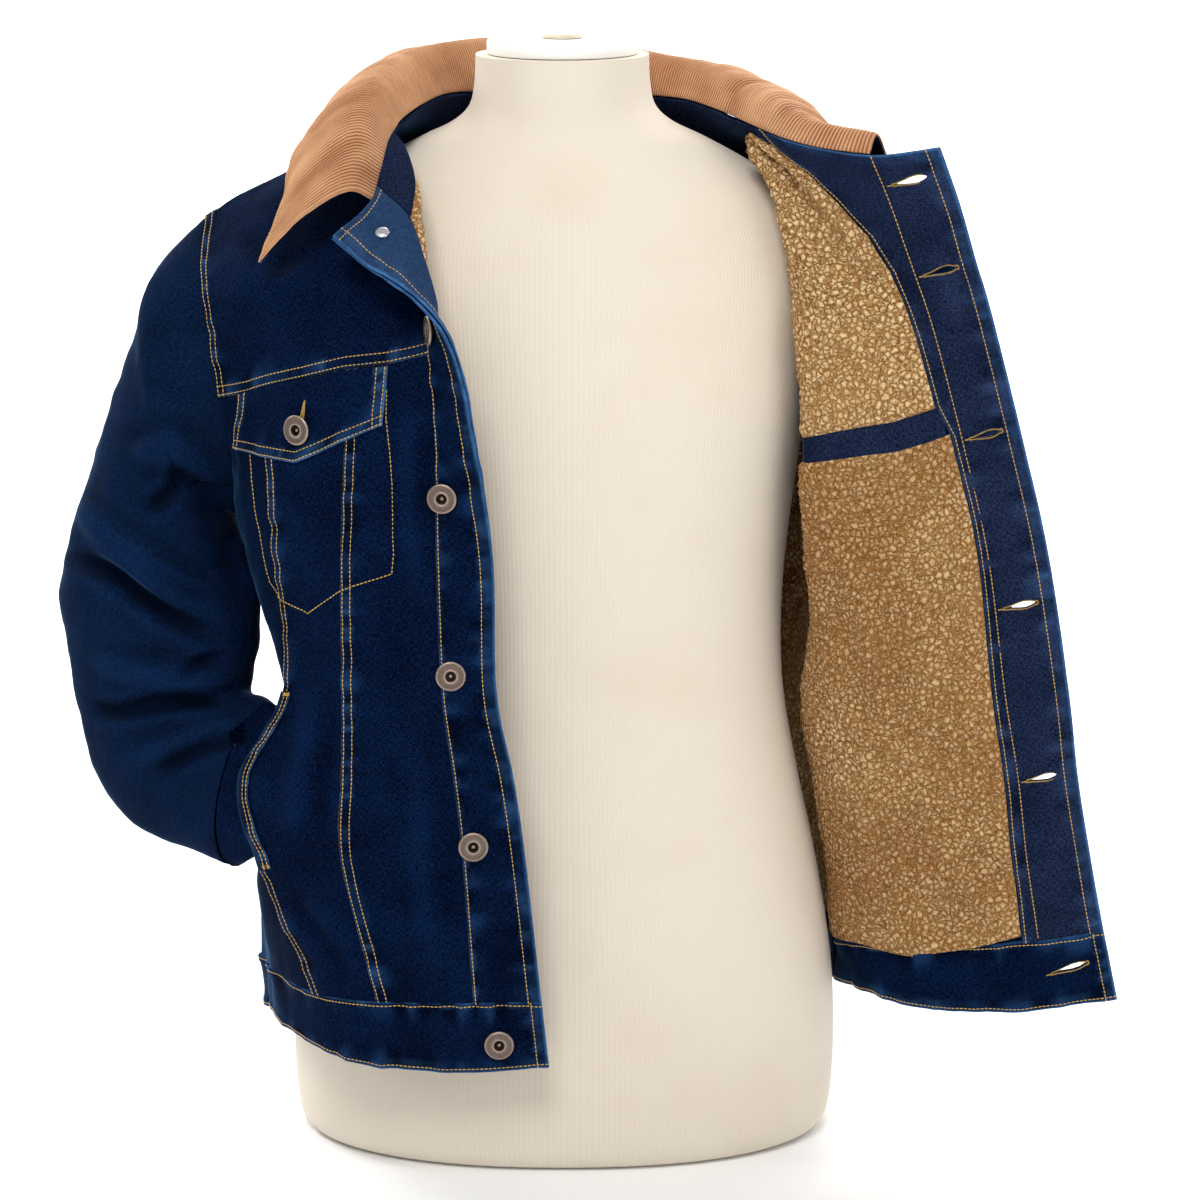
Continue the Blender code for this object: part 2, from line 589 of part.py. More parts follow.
def make_buttonhole_band(drape):
    """The left front's buttonhole band, the facing behind it and its waistband, slit at each buttonhole."""
    us = [PLACKET, PLACKET + HOLE_ENDS[0], PLACKET + HOLE_ENDS[1], EDGE]
    marks = [hole_levels(drape, level) for level in BUTTONHOLES[1:]]
    plain = [v for v in drape.upwards(HEM, NECK)
             if all(v < low - KNOT_CLEARANCE or v > high + KNOT_CLEARANCE for low, high in marks)]
    vs = sorted(plain + [v for mark in marks for v in mark])
    cells = {(1, vs.index(low)) for low, high in marks}
    cut_piece("buttonhole_band", "denim", drape, us, vs, DENIM, holes=cells)
    facing_cells = {(i + 1, j) for i, j in cells}
    cut_piece("facing_left", "facing_denim", drape, [FACING_RAIL, *us], vs, FACING, FRONT_FACING_GAP,
              facing_cells)
    low, high = hole_levels(drape, BUTTONHOLES[0])
    band_us = drape.across(SIDE, PLACKET) + us[1:]
    cut_piece("waistband_left", "denim", drape, band_us, [0, low, high, 1], BAND, BAND_GAP,
              holes={(band_us.index(us[1]), 1)})


def make_back(drape):
    """Back panels, yoke, waistband, lining and neck facing."""
    body = drape.upwards(HEM, YOKE)
    cut_piece("back_side_right", "denim", drape, drape.across(SIDE_R, SEAM_R), body, DENIM)
    cut_piece("back_centre", "denim", drape, drape.across(SEAM_R, SEAM_L), body, DENIM)
    cut_piece("back_side_left", "denim", drape, drape.across(SEAM_L, SIDE_L), body, DENIM)
    whole = drape.across(SIDE_R, SIDE_L)
    cut_piece("back_yoke", "denim", drape, whole, drape.upwards(YOKE, NECK), DENIM, SHOULDER_GAP)
    cut_piece("waistband_back", "denim", drape, whole, [0, 1], BAND, BAND_GAP)
    cut_piece("lining_back", "pile", drape, whole, drape.upwards(LINING_FOOT, ROLL), LINING, LINING_GAP)
    cut_piece("neck_facing_back", "facing_denim", drape, whole, drape.upwards(ROLL, NECK), FACING, FACING_GAP)


def make_linings(right_side, left):
    """The fronts' pile linings, the left one parted by the inner pocket's mouth, and their neck facings."""
    cut_piece("lining_right", "pile", right_side, right_side.across(SIDE, FACING_RAIL),
              right_side.upwards(LINING_FOOT, ROLL), LINING, LINING_GAP)
    cut_piece("neck_facing_right", "facing_denim", right_side,
              right_side.across(NECK_FACING_RAIL, FACING_RAIL), right_side.upwards(ROLL, NECK), FACING,
              FACING_GAP)
    us = left.across(SIDE, FACING_RAIL)
    pocket_foot, pocket_top = INNER_POCKET
    cut_piece("lining_left_lower", "pile", left, us, left.upwards(LINING_FOOT, pocket_foot), LINING,
              LINING_GAP)
    cut_piece("inner_pocket_edge", "facing_denim", left, us, [pocket_foot, pocket_top], POCKET_STRIP,
              POCKET_GAP)
    cut_piece("lining_left_upper", "pile", left, us, left.upwards(pocket_top, ROLL), LINING, LINING_GAP)
    cut_piece("neck_facing_left", "facing_denim", left, us, left.upwards(ROLL, NECK), FACING, FACING_GAP)


def make_collar(right, left, back):
    """Corduroy top collar and denim under collar, standing on the neck seam of the three drapes."""
    seam = [right.point(PLACKET - k / 2, NECK) for k in range(4)]
    seam += [back.point(SEAM_R + k / 2, NECK) for k in range(2 * (SEAM_L - SEAM_R) + 1)]
    seam += [left.point(SEAM_1 + k / 2, NECK) for k in range(1, 5)]
    falls = [[Vector(row[i]) for row in COLLAR] for i in range(len(COLLAR[0]))]
    rows = []
    for k, start in enumerate(seam):
        rows.append([start, *(curve_point(fall, k / 2) for fall in falls)])
    vs = list(range(len(seam)))
    drape = Drape(rows, -1, vs)
    us = [COLLAR_START, 0.5, 1, 1.5, 2, 3]
    cut_piece("top_collar", "corduroy", drape, us, vs, TOP_COLLAR)
    cut_piece("under_collar", "denim", drape, us, vs, UNDER_COLLAR)


def arm_ring(front, front_rail, back, back_rail):
    """The armhole from the underarm up the front to the shoulder and down the back."""
    half = SLEEVE_SIDES // 2
    ring = []
    for k in range(SLEEVE_SIDES):
        rise = (NECK - CHEST) * (1 - abs(k - half) / half)
        drape, rail = (front, front_rail) if k <= half else (back, back_rail)
        ring.append(drape.point(rail, CHEST + rise))
    return ring


def section_angles(share):
    """Angles round a section from the underarm by way of the front; share 1 faces the armhole's points."""
    half = SLEEVE_SIDES // 2
    rise = [radians(share * turn + (1 - share) * 180 * k / half) for k, turn in enumerate(ARMHOLE_ANGLES)]
    return rise + [2 * pi - angle for angle in reversed(rise[1:-1])]


def section_rings(sections):
    """Oval rings from rows of inner point, outer point and half depth."""
    middles = [(Vector(inner) + Vector(outer)) / 2 for inner, outer, depth in sections]
    rings = []
    for k, (inner, outer, depth) in enumerate(sections):
        before, after = middles[max(k - 1, 0)], middles[min(k + 1, len(middles) - 1)]
        across = (Vector(inner) - Vector(outer)) / 2
        front = across.cross(after - before).normalized()
        if front.y > 0:
            front = -front
        angles = section_angles(ARMHOLE_SHARES[k] if k < len(ARMHOLE_SHARES) else 0)
        rings.append([middles[k] + across * cos(a) + front * depth * sin(a) for a in angles])
    return rings


def ring_starts(ring, section):
    """A sleeve's first ring, moved off the armhole square to it."""
    starts = []
    for k, spot in enumerate(ring):
        tangent = (ring[(k + 1) % len(ring)] - ring[k - 1]).normalized()
        way = section[k] - spot
        way -= tangent * way.dot(tangent)
        starts.append(spot + way.normalized() * SLEEVE_START)
    return starts


def ring_normals(rings):
    """Directions outwards at each point of a row of rings."""
    normals = []
    for k, ring in enumerate(rings):
        before, after = rings[max(k - 1, 0)], rings[min(k + 1, len(rings) - 1)]
        middle = sum(ring, Vector()) / len(ring)
        row = []
        for n, spot in enumerate(ring):
            along = ring[(n + 1) % len(ring)] - ring[n - 1]
            out = along.cross(after[n] - before[n]).normalized()
            row.append(out if out.dot(spot - middle) > 0 else -out)
        normals.append(row)
    return normals


def make_tube(part_name, finish, rings, normals, first, last, layer):
    """A stretch of a row of rings, from side first to side last. A whole tube spans SLEEVE_SIDES sides."""
    whole = last - first == SLEEVE_SIDES
    count = last - first if whole else last - first + 1
    rows = []
    for ring, outs in zip(rings, normals):
        row = []
        for n in range(count):
            k = (first + n) % SLEEVE_SIDES
            spot = ring[k]
            if not whole and n == 0:
                spot = spot + (ring[(k + 1) % SLEEVE_SIDES] - spot).normalized() * SLEEVE_SEAM
            if not whole and n == count - 1:
                spot = spot + (ring[k - 1] - spot).normalized() * SLEEVE_SEAM
            row.append(tuple(spot + outs[k] * distance for distance in reversed(layer)))
        rows.append(row)
    return add_part(part_name, finish, wall_mesh(rows, closed=whole))


def make_sleeve(hand, ring, sections, cuff_sections):
    """A sleeve of a top and an under sleeve, and its cuff."""
    lower = section_rings(sections + cuff_sections)
    rings = [ring_starts(ring, lower[0]), *lower]
    normals = ring_normals(rings)
    length = len(sections) + 1
    sleeve = rings[:length], normals[:length]
    make_tube(f"top_sleeve_{hand}", "denim", *sleeve, *TOP_SLEEVE, SLEEVE)
    first, last = TOP_SLEEVE
    make_tube(f"under_sleeve_{hand}", "denim", *sleeve, last, first + SLEEVE_SIDES, SLEEVE)
    make_tube(f"cuff_{hand}", "denim", rings[length:], normals[length:], 0, SLEEVE_SIDES, SLEEVE)


def make_flap(hand, drape):
    """A pointed chest pocket flap laid on a front."""
    c = FLAP_CORNERS

    def place(s, t):
        top = [a + (b - a) * s for a, b in zip(c["top_in"], c["top_out"])]
        half, rest = (c["foot_in"], c["foot_mid"]) if s < 0.5 else (c["foot_mid"], c["foot_out"])
        share = s * 2 if s < 0.5 else s * 2 - 1
        foot = [a + (b - a) * share for a, b in zip(half, rest)]
        rail, level = (a + (b - a) * t for a, b in zip(top, foot))
        return rail + FLAP_SHIFT[hand], level

    laid_piece(f"pocket_flap_{hand}", "denim", drape, place, FLAP_STEPS, OVERLAY)


def make_welt(hand, drape):
    """The welt along a hand pocket's mouth, on the edge of the middle front."""
    first, last = WELT_RAILS
    foot, top = WELT_LEVELS

    def place(s, t):
        return SEAM_2 + first + (last - first) * s, foot + (top - foot) * t

    laid_piece(f"pocket_welt_{hand}", "denim", drape, place, WELT_STEPS, WELT)


def make_tab(hand, drape, rails):
    """A waist adjuster tab laid on the back's waistband."""
    cut_piece(f"waist_tab_{hand}", "denim", drape, drape.across(min(rails), max(rails)), list(TAB_LEVELS),
              OVERLAY)


def make_button(part_name, drape, u, v, cloth):
    """A tack button that stands on the cloth."""
    axis = drape.facing_way(u, v, cloth)
    seat = drape.off(u, v, cloth) + axis * BUTTON_SEAT
    turned_part(part_name, "button_brass", BUTTON, BUTTON_SIDES, seat, axis)


def make_buttons(right, left, back):
    """Buttons of the front, the flaps and the tabs, and the top button's rivet."""
    for number, (across, level) in enumerate(FRONT_BUTTONS, 1):
        cloth = BAND[1] if level < HEM else DENIM[1]
        make_button(f"front_button_{number}", right, PLACKET + across, level, cloth)
    for hand, drape in (("right", right), ("left", left)):
        rail, level = FLAP_BUTTON
        make_button(f"flap_button_{hand}", drape, rail + FLAP_SHIFT[hand], level, OVERLAY[1])
    for hand, rails in TAB_RAILS.items():
        inner = rails[1] * TAB_BUTTON + rails[0] * (1 - TAB_BUTTON)
        make_button(f"tab_button_{hand}", back, inner, sum(TAB_LEVELS) / 2, OVERLAY[1])
    across, v = FRONT_BUTTONS[-1]
    u = PLACKET + across
    axis = -right.facing_way(u, v, FACING[0])
    seat = right.off(u, v, FACING[0]) + axis * BUTTON_SEAT
    turned_part("top_rivet", "button_brass", RIVET, BUTTON_SIDES, seat, axis)


def make_cuff_button(sections):
    """The left cuff's button, on its front."""
    rings = section_rings(sections)
    normals = ring_normals(rings)
    middle, side = len(rings) // 2, CUFF_BUTTON_SIDE
    axis = normals[middle][side]
    seat = rings[middle][side] + axis * (SLEEVE[1] + BUTTON_SEAT)
    turned_part("cuff_button_left", "button_brass", BUTTON, BUTTON_SIDES, seat, axis)


def form_ring(height, half_width, front, back):
    """One level of the dress form, a softly squared oval."""
    ring = []
    for k in range(FORM_SIDES):
        a = 2 * pi * k / FORM_SIDES
        share = 2 / FORM_SQUARENESS
        x = half_width * abs(cos(a)) ** share * (1 if cos(a) >= 0 else -1)
        reach = back if sin(a) >= 0 else front
        y = reach * abs(sin(a)) ** share * (1 if sin(a) >= 0 else -1)
        ring.append((x, y, height))
    return ring


def make_form():
    """The torso, its neck cap and the knob on it."""
    bm = bmesh.new()
    rings = [[bm.verts.new(spot) for spot in form_ring(*level)] for level in FORM]
    for low, high in zip(rings, rings[1:]):
        for k in range(FORM_SIDES):
            n = (k + 1) % FORM_SIDES
            bm.faces.new((low[k], low[n], high[n], high[k]))
    bm.faces.new(rings[0])
    bm.faces.new(rings[-1])
    add_part("dress_form", "jersey", bm)
    top = FORM[-1][0]
    cap = ((0, 0), (NECK_CAP_RADIUS, 0), (NECK_CAP_RADIUS, NECK_CAP_HEIGHT - 3),
           (NECK_CAP_RADIUS - 4, NECK_CAP_HEIGHT), (0, NECK_CAP_HEIGHT))
    turned_part("form_neck_cap", "jersey", cap, 32, (0, NECK_MIDDLE, top + CAP_LIFT), (0, 0, 1))
    knob_seat = top + 2 * CAP_LIFT + NECK_CAP_HEIGHT
    turned_part("form_knob", "knob_wood", KNOB, 24, (0, NECK_MIDDLE, knob_seat), (0, 0, 1))


def make_all():
    """Build the whole jacket and its form."""
    clear_scene()
    right = right_drape()
    right_side = right_drape(RIGHT_TUCK)
    left = left_drape()
    back = back_drape()
    make_front_panels("right", right, right_side)
    make_front_panels("left", left, left)
    make_button_band(right)
    make_buttonhole_band(left)
    make_back(back)
    make_linings(right_side, left)
    make_collar(right, left, back)
    make_sleeve("right", arm_ring(right, SIDE, back, SIDE_R), RIGHT_SLEEVE, RIGHT_CUFF)
    make_sleeve("left", arm_ring(left, SIDE, back, SIDE_L), LEFT_SLEEVE, LEFT_CUFF)
    for hand, drape in (("right", right), ("left", left)):
        make_flap(hand, drape)
        make_welt(hand, drape)
        make_tab(hand, back, TAB_RAILS[hand])
    make_buttons(right, left, back)
    make_cuff_button(LEFT_CUFF)
    make_form()


make_all()
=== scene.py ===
"""Looks of a pile-lined denim trucker jacket with a corduroy collar, resting on a limbless dress form.

Tables and lengths are millimetres and the finished meshes are metres. +X is the viewer's right, +Y goes
away from the viewer and +Z is up. The cloth follows the frame's own draped surfaces: a place on one is a
rail, which is a seam or a line between seams, and a level, from the waistband's lower edge up to the neck.
"""

from functools import reduce
from math import cos, pi, radians, sin

import bpy
import numpy as np
from bpy.props import FloatProperty, FloatVectorProperty, PointerProperty
from bpy.types import Operator, Panel, PropertyGroup
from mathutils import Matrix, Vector


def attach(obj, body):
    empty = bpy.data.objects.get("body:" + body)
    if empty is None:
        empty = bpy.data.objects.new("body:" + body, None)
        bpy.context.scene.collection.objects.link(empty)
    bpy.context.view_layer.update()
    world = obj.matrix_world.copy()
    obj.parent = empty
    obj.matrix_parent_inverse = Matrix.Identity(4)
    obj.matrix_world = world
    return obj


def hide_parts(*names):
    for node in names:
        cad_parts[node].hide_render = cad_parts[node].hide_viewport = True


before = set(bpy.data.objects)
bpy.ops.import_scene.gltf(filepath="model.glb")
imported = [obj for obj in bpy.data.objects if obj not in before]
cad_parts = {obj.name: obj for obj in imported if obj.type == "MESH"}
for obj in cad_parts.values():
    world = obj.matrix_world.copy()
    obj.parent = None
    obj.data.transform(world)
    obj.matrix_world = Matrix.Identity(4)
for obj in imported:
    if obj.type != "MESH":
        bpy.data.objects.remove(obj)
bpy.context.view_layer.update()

bl_info = {
    "name": "Denim jacket on a dress form",
    "version": (1, 0, 0),
    "blender": (4, 5, 0),
    "location": "3D View > Sidebar > Jacket",
    "description": "Builds the looks of a pile-lined denim jacket resting on a dress form",
    "category": "Object",
}

MM = 0.001

# Cloth layers, as distances out from the draped surface between denim and lining.
DENIM = (0.2, 1.8)
BAND = (-1.5, 1.8)
FACING = (-2.1, -0.5)
POCKET_STRIP = (-2.5, -0.9)
PILE_BACKING = (-2.4, -0.9)
OVERLAY = (2.7, 4.3)
WELT = (2.7, 3.9)
TOP_COLLAR = (0.2, 1.8)
UNDER_COLLAR = (-1.8, -0.2)
SLEEVE = (-0.8, 1.2)
CUFF = (-0.8, 2.2)

RAILS = ("side", "side_mid", "seam_2", "panel_mid", "seam_1", "roll_line", "placket", "edge")
LEVELS = ("band_edge", "hem", "pocket_foot", "pocket_mid", "pocket_top", "chest", "flap", "yoke", "mid",
          "roll", "neck")

# Right front, worn closed, its top corner turned out. A row is a level, with one point (x, y, z) a rail.
RIGHT_FRONT = {
    "band_edge": ((-222, -8, 90), (-207, -76, 98), (-177, -128, 97), (-153, -150, 94),
                  (-127, -160, 92), (-92, -166, 91), (-57, -168, 92), (-9, -168, 95)),
    "hem": ((-225, -8, 128), (-209, -78, 137), (-179, -130, 138), (-155, -152, 140),
            (-132, -162, 141), (-97, -168, 142), (-63, -170, 143), (-14, -168, 143)),
    "pocket_foot": ((-223, 0, 200), (-222, -60, 212), (-215, -118, 228), (-186, -146, 239),
                    (-156, -160, 245), (-113, -168, 247), (-70, -171, 248), (-25, -168, 248)),
    "pocket_mid": ((-210, 8, 262), (-192, -42, 278), (-230, -108, 291), (-192, -145, 301),
                   (-155, -160, 306), (-115, -168, 307), (-76, -170, 308), (-33, -167, 307)),
    "pocket_top": ((-203, 10, 340), (-202, -50, 349), (-197, -112, 358), (-176, -138, 365),
                   (-154, -154, 368), (-118, -164, 370), (-84, -168, 371), (-45, -165, 371)),
    "chest": ((-238, -10, 465), (-226, -66, 455), (-202, -115, 457), (-178, -138, 462),
              (-154, -152, 465), (-120, -162, 466), (-87, -166, 467), (-47, -165, 467)),
    "flap": ((-236, -62, 522), (-225, -90, 527), (-208, -114, 532), (-178, -135, 537),
             (-150, -148, 542), (-118, -157, 547), (-87, -163, 552), (-59, -182, 554)),
    "yoke": ((-243, -72, 567), (-224, -94, 574), (-203, -112, 583), (-175, -132, 593),
             (-148, -146, 602), (-118, -156, 607), (-90, -161, 611), (-73, -192, 619)),
    "mid": ((-254, -55, 631), (-231, -80, 641), (-204, -98, 650), (-174, -112, 658),
            (-145, -122, 662), (-115, -132, 661), (-88, -148, 650), (-106, -182, 656)),
    "roll": ((-258, -30, 660), (-229, -42, 682), (-196, -52, 704), (-160, -60, 724),
             (-122, -66, 740), (-104, -96, 722), (-108, -138, 690), (-134, -163, 670)),
    "neck": ((-258, -5, 683), (-222, -13, 704), (-186, -22, 722), (-150, -32, 740),
             (-114, -42, 757), (-123, -75, 743), (-131, -112, 709), (-157, -148, 687)),
}

# Left front, folded open: it comes forward off the side seam, rolls over and lies out to the viewer's right.
LEFT_FRONT = {
    "band_edge": ((206, 20, 99), (218, -18, 106), (232, -48, 109), (250, -62, 107),
                  (273, -72, 106), (312, -84, 108), (352, -92, 113), (404, -100, 124)),
    "hem": ((208, 22, 136), (206, -14, 142), (221, -44, 148), (241, -61, 150),
            (264, -74, 154), (304, -88, 160), (345, -98, 167), (392, -106, 177)),
    "pocket_foot": ((209, 28, 195), (199, -16, 205), (216, -51, 213), (240, -67, 218),
                    (266, -79, 222), (300, -92, 225), (335, -102, 228), (381, -108, 232)),
    "pocket_mid": ((202, 28, 258), (188, -16, 268), (204, -53, 277), (232, -73, 282),
                   (259, -84, 285), (292, -96, 288), (327, -105, 290), (370, -110, 293)),
    "pocket_top": ((197, 24, 330), (180, -20, 338), (192, -57, 346), (217, -79, 351),
                   (246, -91, 354), (280, -102, 356), (315, -108, 358), (361, -114, 360)),
    "chest": ((232, -8, 465), (199, -42, 455), (178, -72, 449), (200, -93, 450),
              (233, -102, 451), (268, -108, 453), (301, -113, 455), (344, -118, 458)),
    "flap": ((236, -38, 520), (205, -58, 523), (174, -80, 527), (188, -98, 530),
             (214, -106, 532), (249, -111, 533), (282, -115, 535), (324, -120, 540)),
    "yoke": ((240, -46, 567), (209, -57, 578), (178, -70, 592), (170, -90, 603),
             (195, -105, 612), (228, -112, 618), (258, -117, 622), (300, -122, 630)),
    "mid": ((252, -34, 630), (223, -44, 645), (192, -54, 658), (165, -67, 667),
            (164, -90, 664), (201, -104, 661), (243, -115, 664), (288, -121, 668)),
    "roll": ((257, -18, 662), (227, -25, 686), (197, -32, 704), (170, -40, 718),
             (148, -60, 722), (186, -92, 706), (229, -110, 703), (276, -120, 708)),
    "neck": ((258, 0, 685), (225, -7, 705), (193, -14, 722), (163, -22, 738),
             (135, -30, 752), (165, -70, 744), (214, -106, 740), (262, -118, 746)),
}

# Back. Its end rails are the fronts' side rails below the arms, and its neck level ends on their shoulders.
BACK_RAILS = ("side_r", "mid_r", "seam_r", "neck_r", "centre", "neck_l", "seam_l", "mid_l", "side_l")
BACK = {
    "band_edge": ((-222, -8, 90), (-190, 75, 96), (-118, 130, 98), (-60, 144, 98), (0, 148, 98),
                  (60, 145, 98), (118, 132, 98), (190, 84, 98), (206, 20, 99)),
    "hem": ((-225, -8, 128), (-192, 76, 138), (-118, 131, 142), (-60, 146, 143), (0, 150, 143),
            (60, 147, 143), (118, 133, 142), (192, 86, 140), (208, 22, 136)),
    "pocket_foot": ((-223, 0, 200), (-190, 78, 205), (-117, 132, 210), (-60, 147, 211), (0, 151, 211),
                    (60, 148, 211), (117, 134, 210), (190, 86, 207), (209, 28, 195)),
    "pocket_mid": ((-210, 8, 262), (-184, 78, 268), (-116, 130, 272), (-60, 145, 273), (0, 149, 273),
                   (60, 146, 273), (116, 132, 272), (184, 85, 269), (202, 28, 258)),
    "pocket_top": ((-203, 10, 340), (-180, 76, 345), (-114, 127, 349), (-60, 141, 350), (0, 145, 350),
                   (60, 142, 350), (114, 129, 349), (179, 83, 346), (197, 24, 330)),
    "chest": ((-238, -10, 465), (-190, 72, 462), (-117, 130, 462), (-60, 144, 462), (0, 147, 462),
              (60, 144, 462), (117, 130, 462), (188, 76, 462), (232, -8, 465)),
    "flap": ((-229, 42, 520), (-190, 88, 522), (-119, 132, 524), (-60, 144, 525), (0, 146, 525),
             (60, 144, 525), (119, 132, 524), (190, 90, 522), (228, 44, 520)),
    "yoke": ((-237, 56, 575), (-193, 95, 577), (-122, 129, 579), (-60, 140, 580), (0, 142, 580),
             (60, 140, 580), (122, 129, 579), (193, 95, 577), (238, 57, 575)),
    "mid": ((-250, 42, 635), (-200, 78, 645), (-124, 108, 652), (-62, 119, 655), (0, 122, 655),
            (62, 119, 655), (126, 108, 652), (202, 79, 645), (252, 42, 635)),
    "roll": ((-256, 16, 668), (-198, 38, 700), (-124, 54, 722), (-72, 82, 726), (0, 98, 722),
             (76, 82, 726), (132, 56, 720), (202, 40, 698), (257, 18, 668)),
    "neck": ((-258, -5, 683), (-186, -22, 722), (-114, -42, 757), (-82, 36, 768), (0, 74, 764),
             (86, 38, 764), (135, -30, 752), (193, -14, 722), (258, 0, 685)),
}

# How far the side front and the lining run in behind the hand pocket's open mouth, on two of the rails.
RIGHT_TUCK = {
    ("seam_2", "pocket_foot"): (9, 10, -2),
    ("seam_2", "pocket_mid"): (64, 24, -6),
    ("seam_2", "pocket_top"): (9, 9, -3),
    ("panel_mid", "pocket_foot"): (2, 5, 0),
    ("panel_mid", "pocket_mid"): (8, 15, 0),
    ("panel_mid", "pocket_top"): (3, 8, 0),
}

# Collar, from the right front's end round the neck to the left front's end: its crest, its leaf's middle and
# its edge at each place along the neck seam.
COLLAR = (
    # crest             leaf               edge
    ((-148, -126, 716), (-180, -128, 697), (-209, -122, 666)),
    ((-144, -90, 756), (-172, -98, 736), (-194, -98, 706)),
    ((-132, -48, 782), (-162, -60, 768), (-184, -70, 738)),
    ((-94, 38, 800), (-122, 46, 790), (-142, 50, 757)),
    ((0, 86, 799), (0, 104, 788), (0, 120, 751)),
    ((96, 44, 787), (122, 54, 780), (146, 60, 750)),
    ((146, -26, 772), (174, -12, 764), (198, -2, 738)),
    ((176, -64, 758), (192, -50, 746), (206, -38, 716)),
    ((220, -94, 752), (228, -82, 734), (246, -72, 682)),
)
# Sleeves as sections down the arm: the point at the inner side, the point at the outer side, half depth.
RIGHT_SLEEVE = (
    # inner side         outer side          half depth
    ((-246, -16, 470), (-289, 4, 646), 64),
    ((-245, -14, 453), (-306, 5, 600), 63),
    ((-242, -12, 435), (-334, 8, 525), 62),
    ((-235, -10, 415), (-357, 10, 458), 60),
    ((-225, -12, 392), (-370, 10, 405), 58),
    ((-226, -18, 368), (-365, 8, 370), 56),
    ((-230, -28, 351), (-356, 0, 322), 54),
    ((-234, -38, 341), (-342, -8, 272), 52),
    ((-229, -48, 339), (-313, -24, 236), 46),
    ((-221, -56, 339), (-268, -48, 222), 36),
    ((-213, -72, 338), (-242, -70, 217), 28),
)
LEFT_SLEEVE = (
    ((244, -10, 471), (284, 0, 646), 58),
    ((246, -8, 450), (297, 6, 600), 57),
    ((245, 0, 425), (311, 16, 530), 56),
    ((238, 8, 390), (322, 30, 460), 54),
    ((233, 16, 350), (330, 42, 400), 52),
    ((231, 20, 315), (332, 46, 340), 51),
    ((234, 18, 275), (328, 44, 285), 50),
    ((240, 14, 230), (324, 38, 230), 48),
    ((247, 8, 185), (320, 30, 180), 45),
    ((253, 2, 152), (316, 22, 146), 42),
)
# Cuffs carry on from the sleeves' last sections.
RIGHT_CUFF = (
    ((-211, -74, 337), (-239, -72, 219), 27),
    ((-202, -86, 330), (-227, -84, 230), 22),
    ((-193, -97, 314), (-212, -95, 240), 16),
)
LEFT_CUFF = (
    ((254, 2, 149), (316, 22, 143), 41.5),
    ((257, -1, 126), (314, 18, 120), 39),
    ((259, -4, 104), (312, 15, 98), 36),
)
SLEEVE_SIDES = 20
# How far off the armhole the sleeve starts.
SLEEVE_START = 0.3
# Angles round a section that face the armhole's own points, from the underarm to the shoulder, and how
# closely the first sections keep to them.
ARMHOLE_ANGLES = (0, 44, 61, 75, 87, 104, 121, 131, 141, 154, 180)
ARMHOLE_SHARES = (1.0, 0.5)

# The sides at which the sleeve's two seams show, the first close to the underarm.
SLEEVE_SPLIT = (1, 16)

# Dress form, from its base up: height, half width, reach forward, reach back.
FORM = (
    # z   half width  front  back
    (0, 186, 118, 114),
    (6, 196, 127, 123),
    (24, 201, 132, 128),
    (70, 203, 134, 130),
    (130, 200, 132, 128),
    (200, 189, 126, 120),
    (270, 174, 120, 111),
    (340, 162, 117, 105),
    (410, 161, 119, 104),
    (480, 168, 125, 107),
    (550, 178, 128, 111),
    (600, 184, 122, 112),
    (639, 190, 110, 106),
    (667.5, 189, 96, 100),
    (689.5, 178, 84, 94),
    (709.5, 156, 75, 86),
    (725.5, 130, 68, 77),
    (740.5, 102, 64, 68),
    (751, 80, 62, 60),
    (763, 67, 61, 56.5),
    (780, 63, 60.5, 55.5),
    (800, 62, 60, 55),
)
# How square the form's sections are: 2 is an oval.
FORM_SQUARENESS = 2.25
FORM_RINGS = 90
FORM_SIDES = 128
# The turned parts on the neck as (radius, height), how far each is seated off what it stands on, and the
# neck's middle.
NECK_PLATE = ((50, 0), (53.5, 0.4), (54, 1.2), (54, 8.6), (53.4, 10), (51.5, 11), (20, 11))
KNOB = ((14, 0), (15, 0.3), (15, 1.6), (14, 2.6), (11, 3.5), (5, 4.4), (1.5, 4.5))
SEAT_GAP = 0.3
NECK_MIDDLE = -2


def numbers(names, *wanted):
    """The places of the wanted names in a row of names."""
    return (names.index(name) for name in wanted)


HEM, CHEST, ROLL, NECK = numbers(LEVELS, "hem", "chest", "roll", "neck")
SIDE, SEAM_2, SEAM_1, PLACKET, EDGE = numbers(RAILS, "side", "seam_2", "seam_1", "placket", "edge")
SIDE_R, SEAM_R, SEAM_L, SIDE_L = numbers(BACK_RAILS, "side_r", "seam_r", "seam_l", "side_l")


def soft_step(share):
    """0 up to 1, eased at both ends."""
    share = np.clip(share, 0.0, 1.0)
    return share * share * (3 - 2 * share)


def curve_shares(place, count, corners=(), closed=False):
    """How much each of count points weighs at places along the smooth curve through them."""
    place = np.asarray(place, float).ravel()
    shares = np.zeros((place.size, count))
    rows = np.arange(place.size)
    first = np.zeros(place.size, int)
    last = np.full(place.size, count if closed else count - 1)
    for corner in corners:
        first = np.where(place > corner, corner, first)
    for corner in reversed(corners):
        last = np.where(place <= corner, corner, last)
    i = np.clip(np.floor(place).astype(int), first, last - 1)
    f = place - i
    f2, f3 = f * f, f * f * f
    starts = (i == first) & (not closed)
    ends = (i + 1 == last) & (not closed)
    slope_a = (f3 - 2 * f2 + f) * np.where(starts, 1.0, 0.5)
    slope_b = (f3 - f2) * np.where(ends, 1.0, 0.5)

    def add(point, amount):
        shares[rows, point % count] += amount

    add(i, 2 * f3 - 3 * f2 + 1)
    add(i + 1, 3 * f2 - 2 * f3)
    add(i + 1, slope_a)
    add(np.where(starts, i, i - 1), -slope_a)
    add(np.where(ends, i + 1, i + 2), slope_b)
    add(i, -slope_b)
    return shares


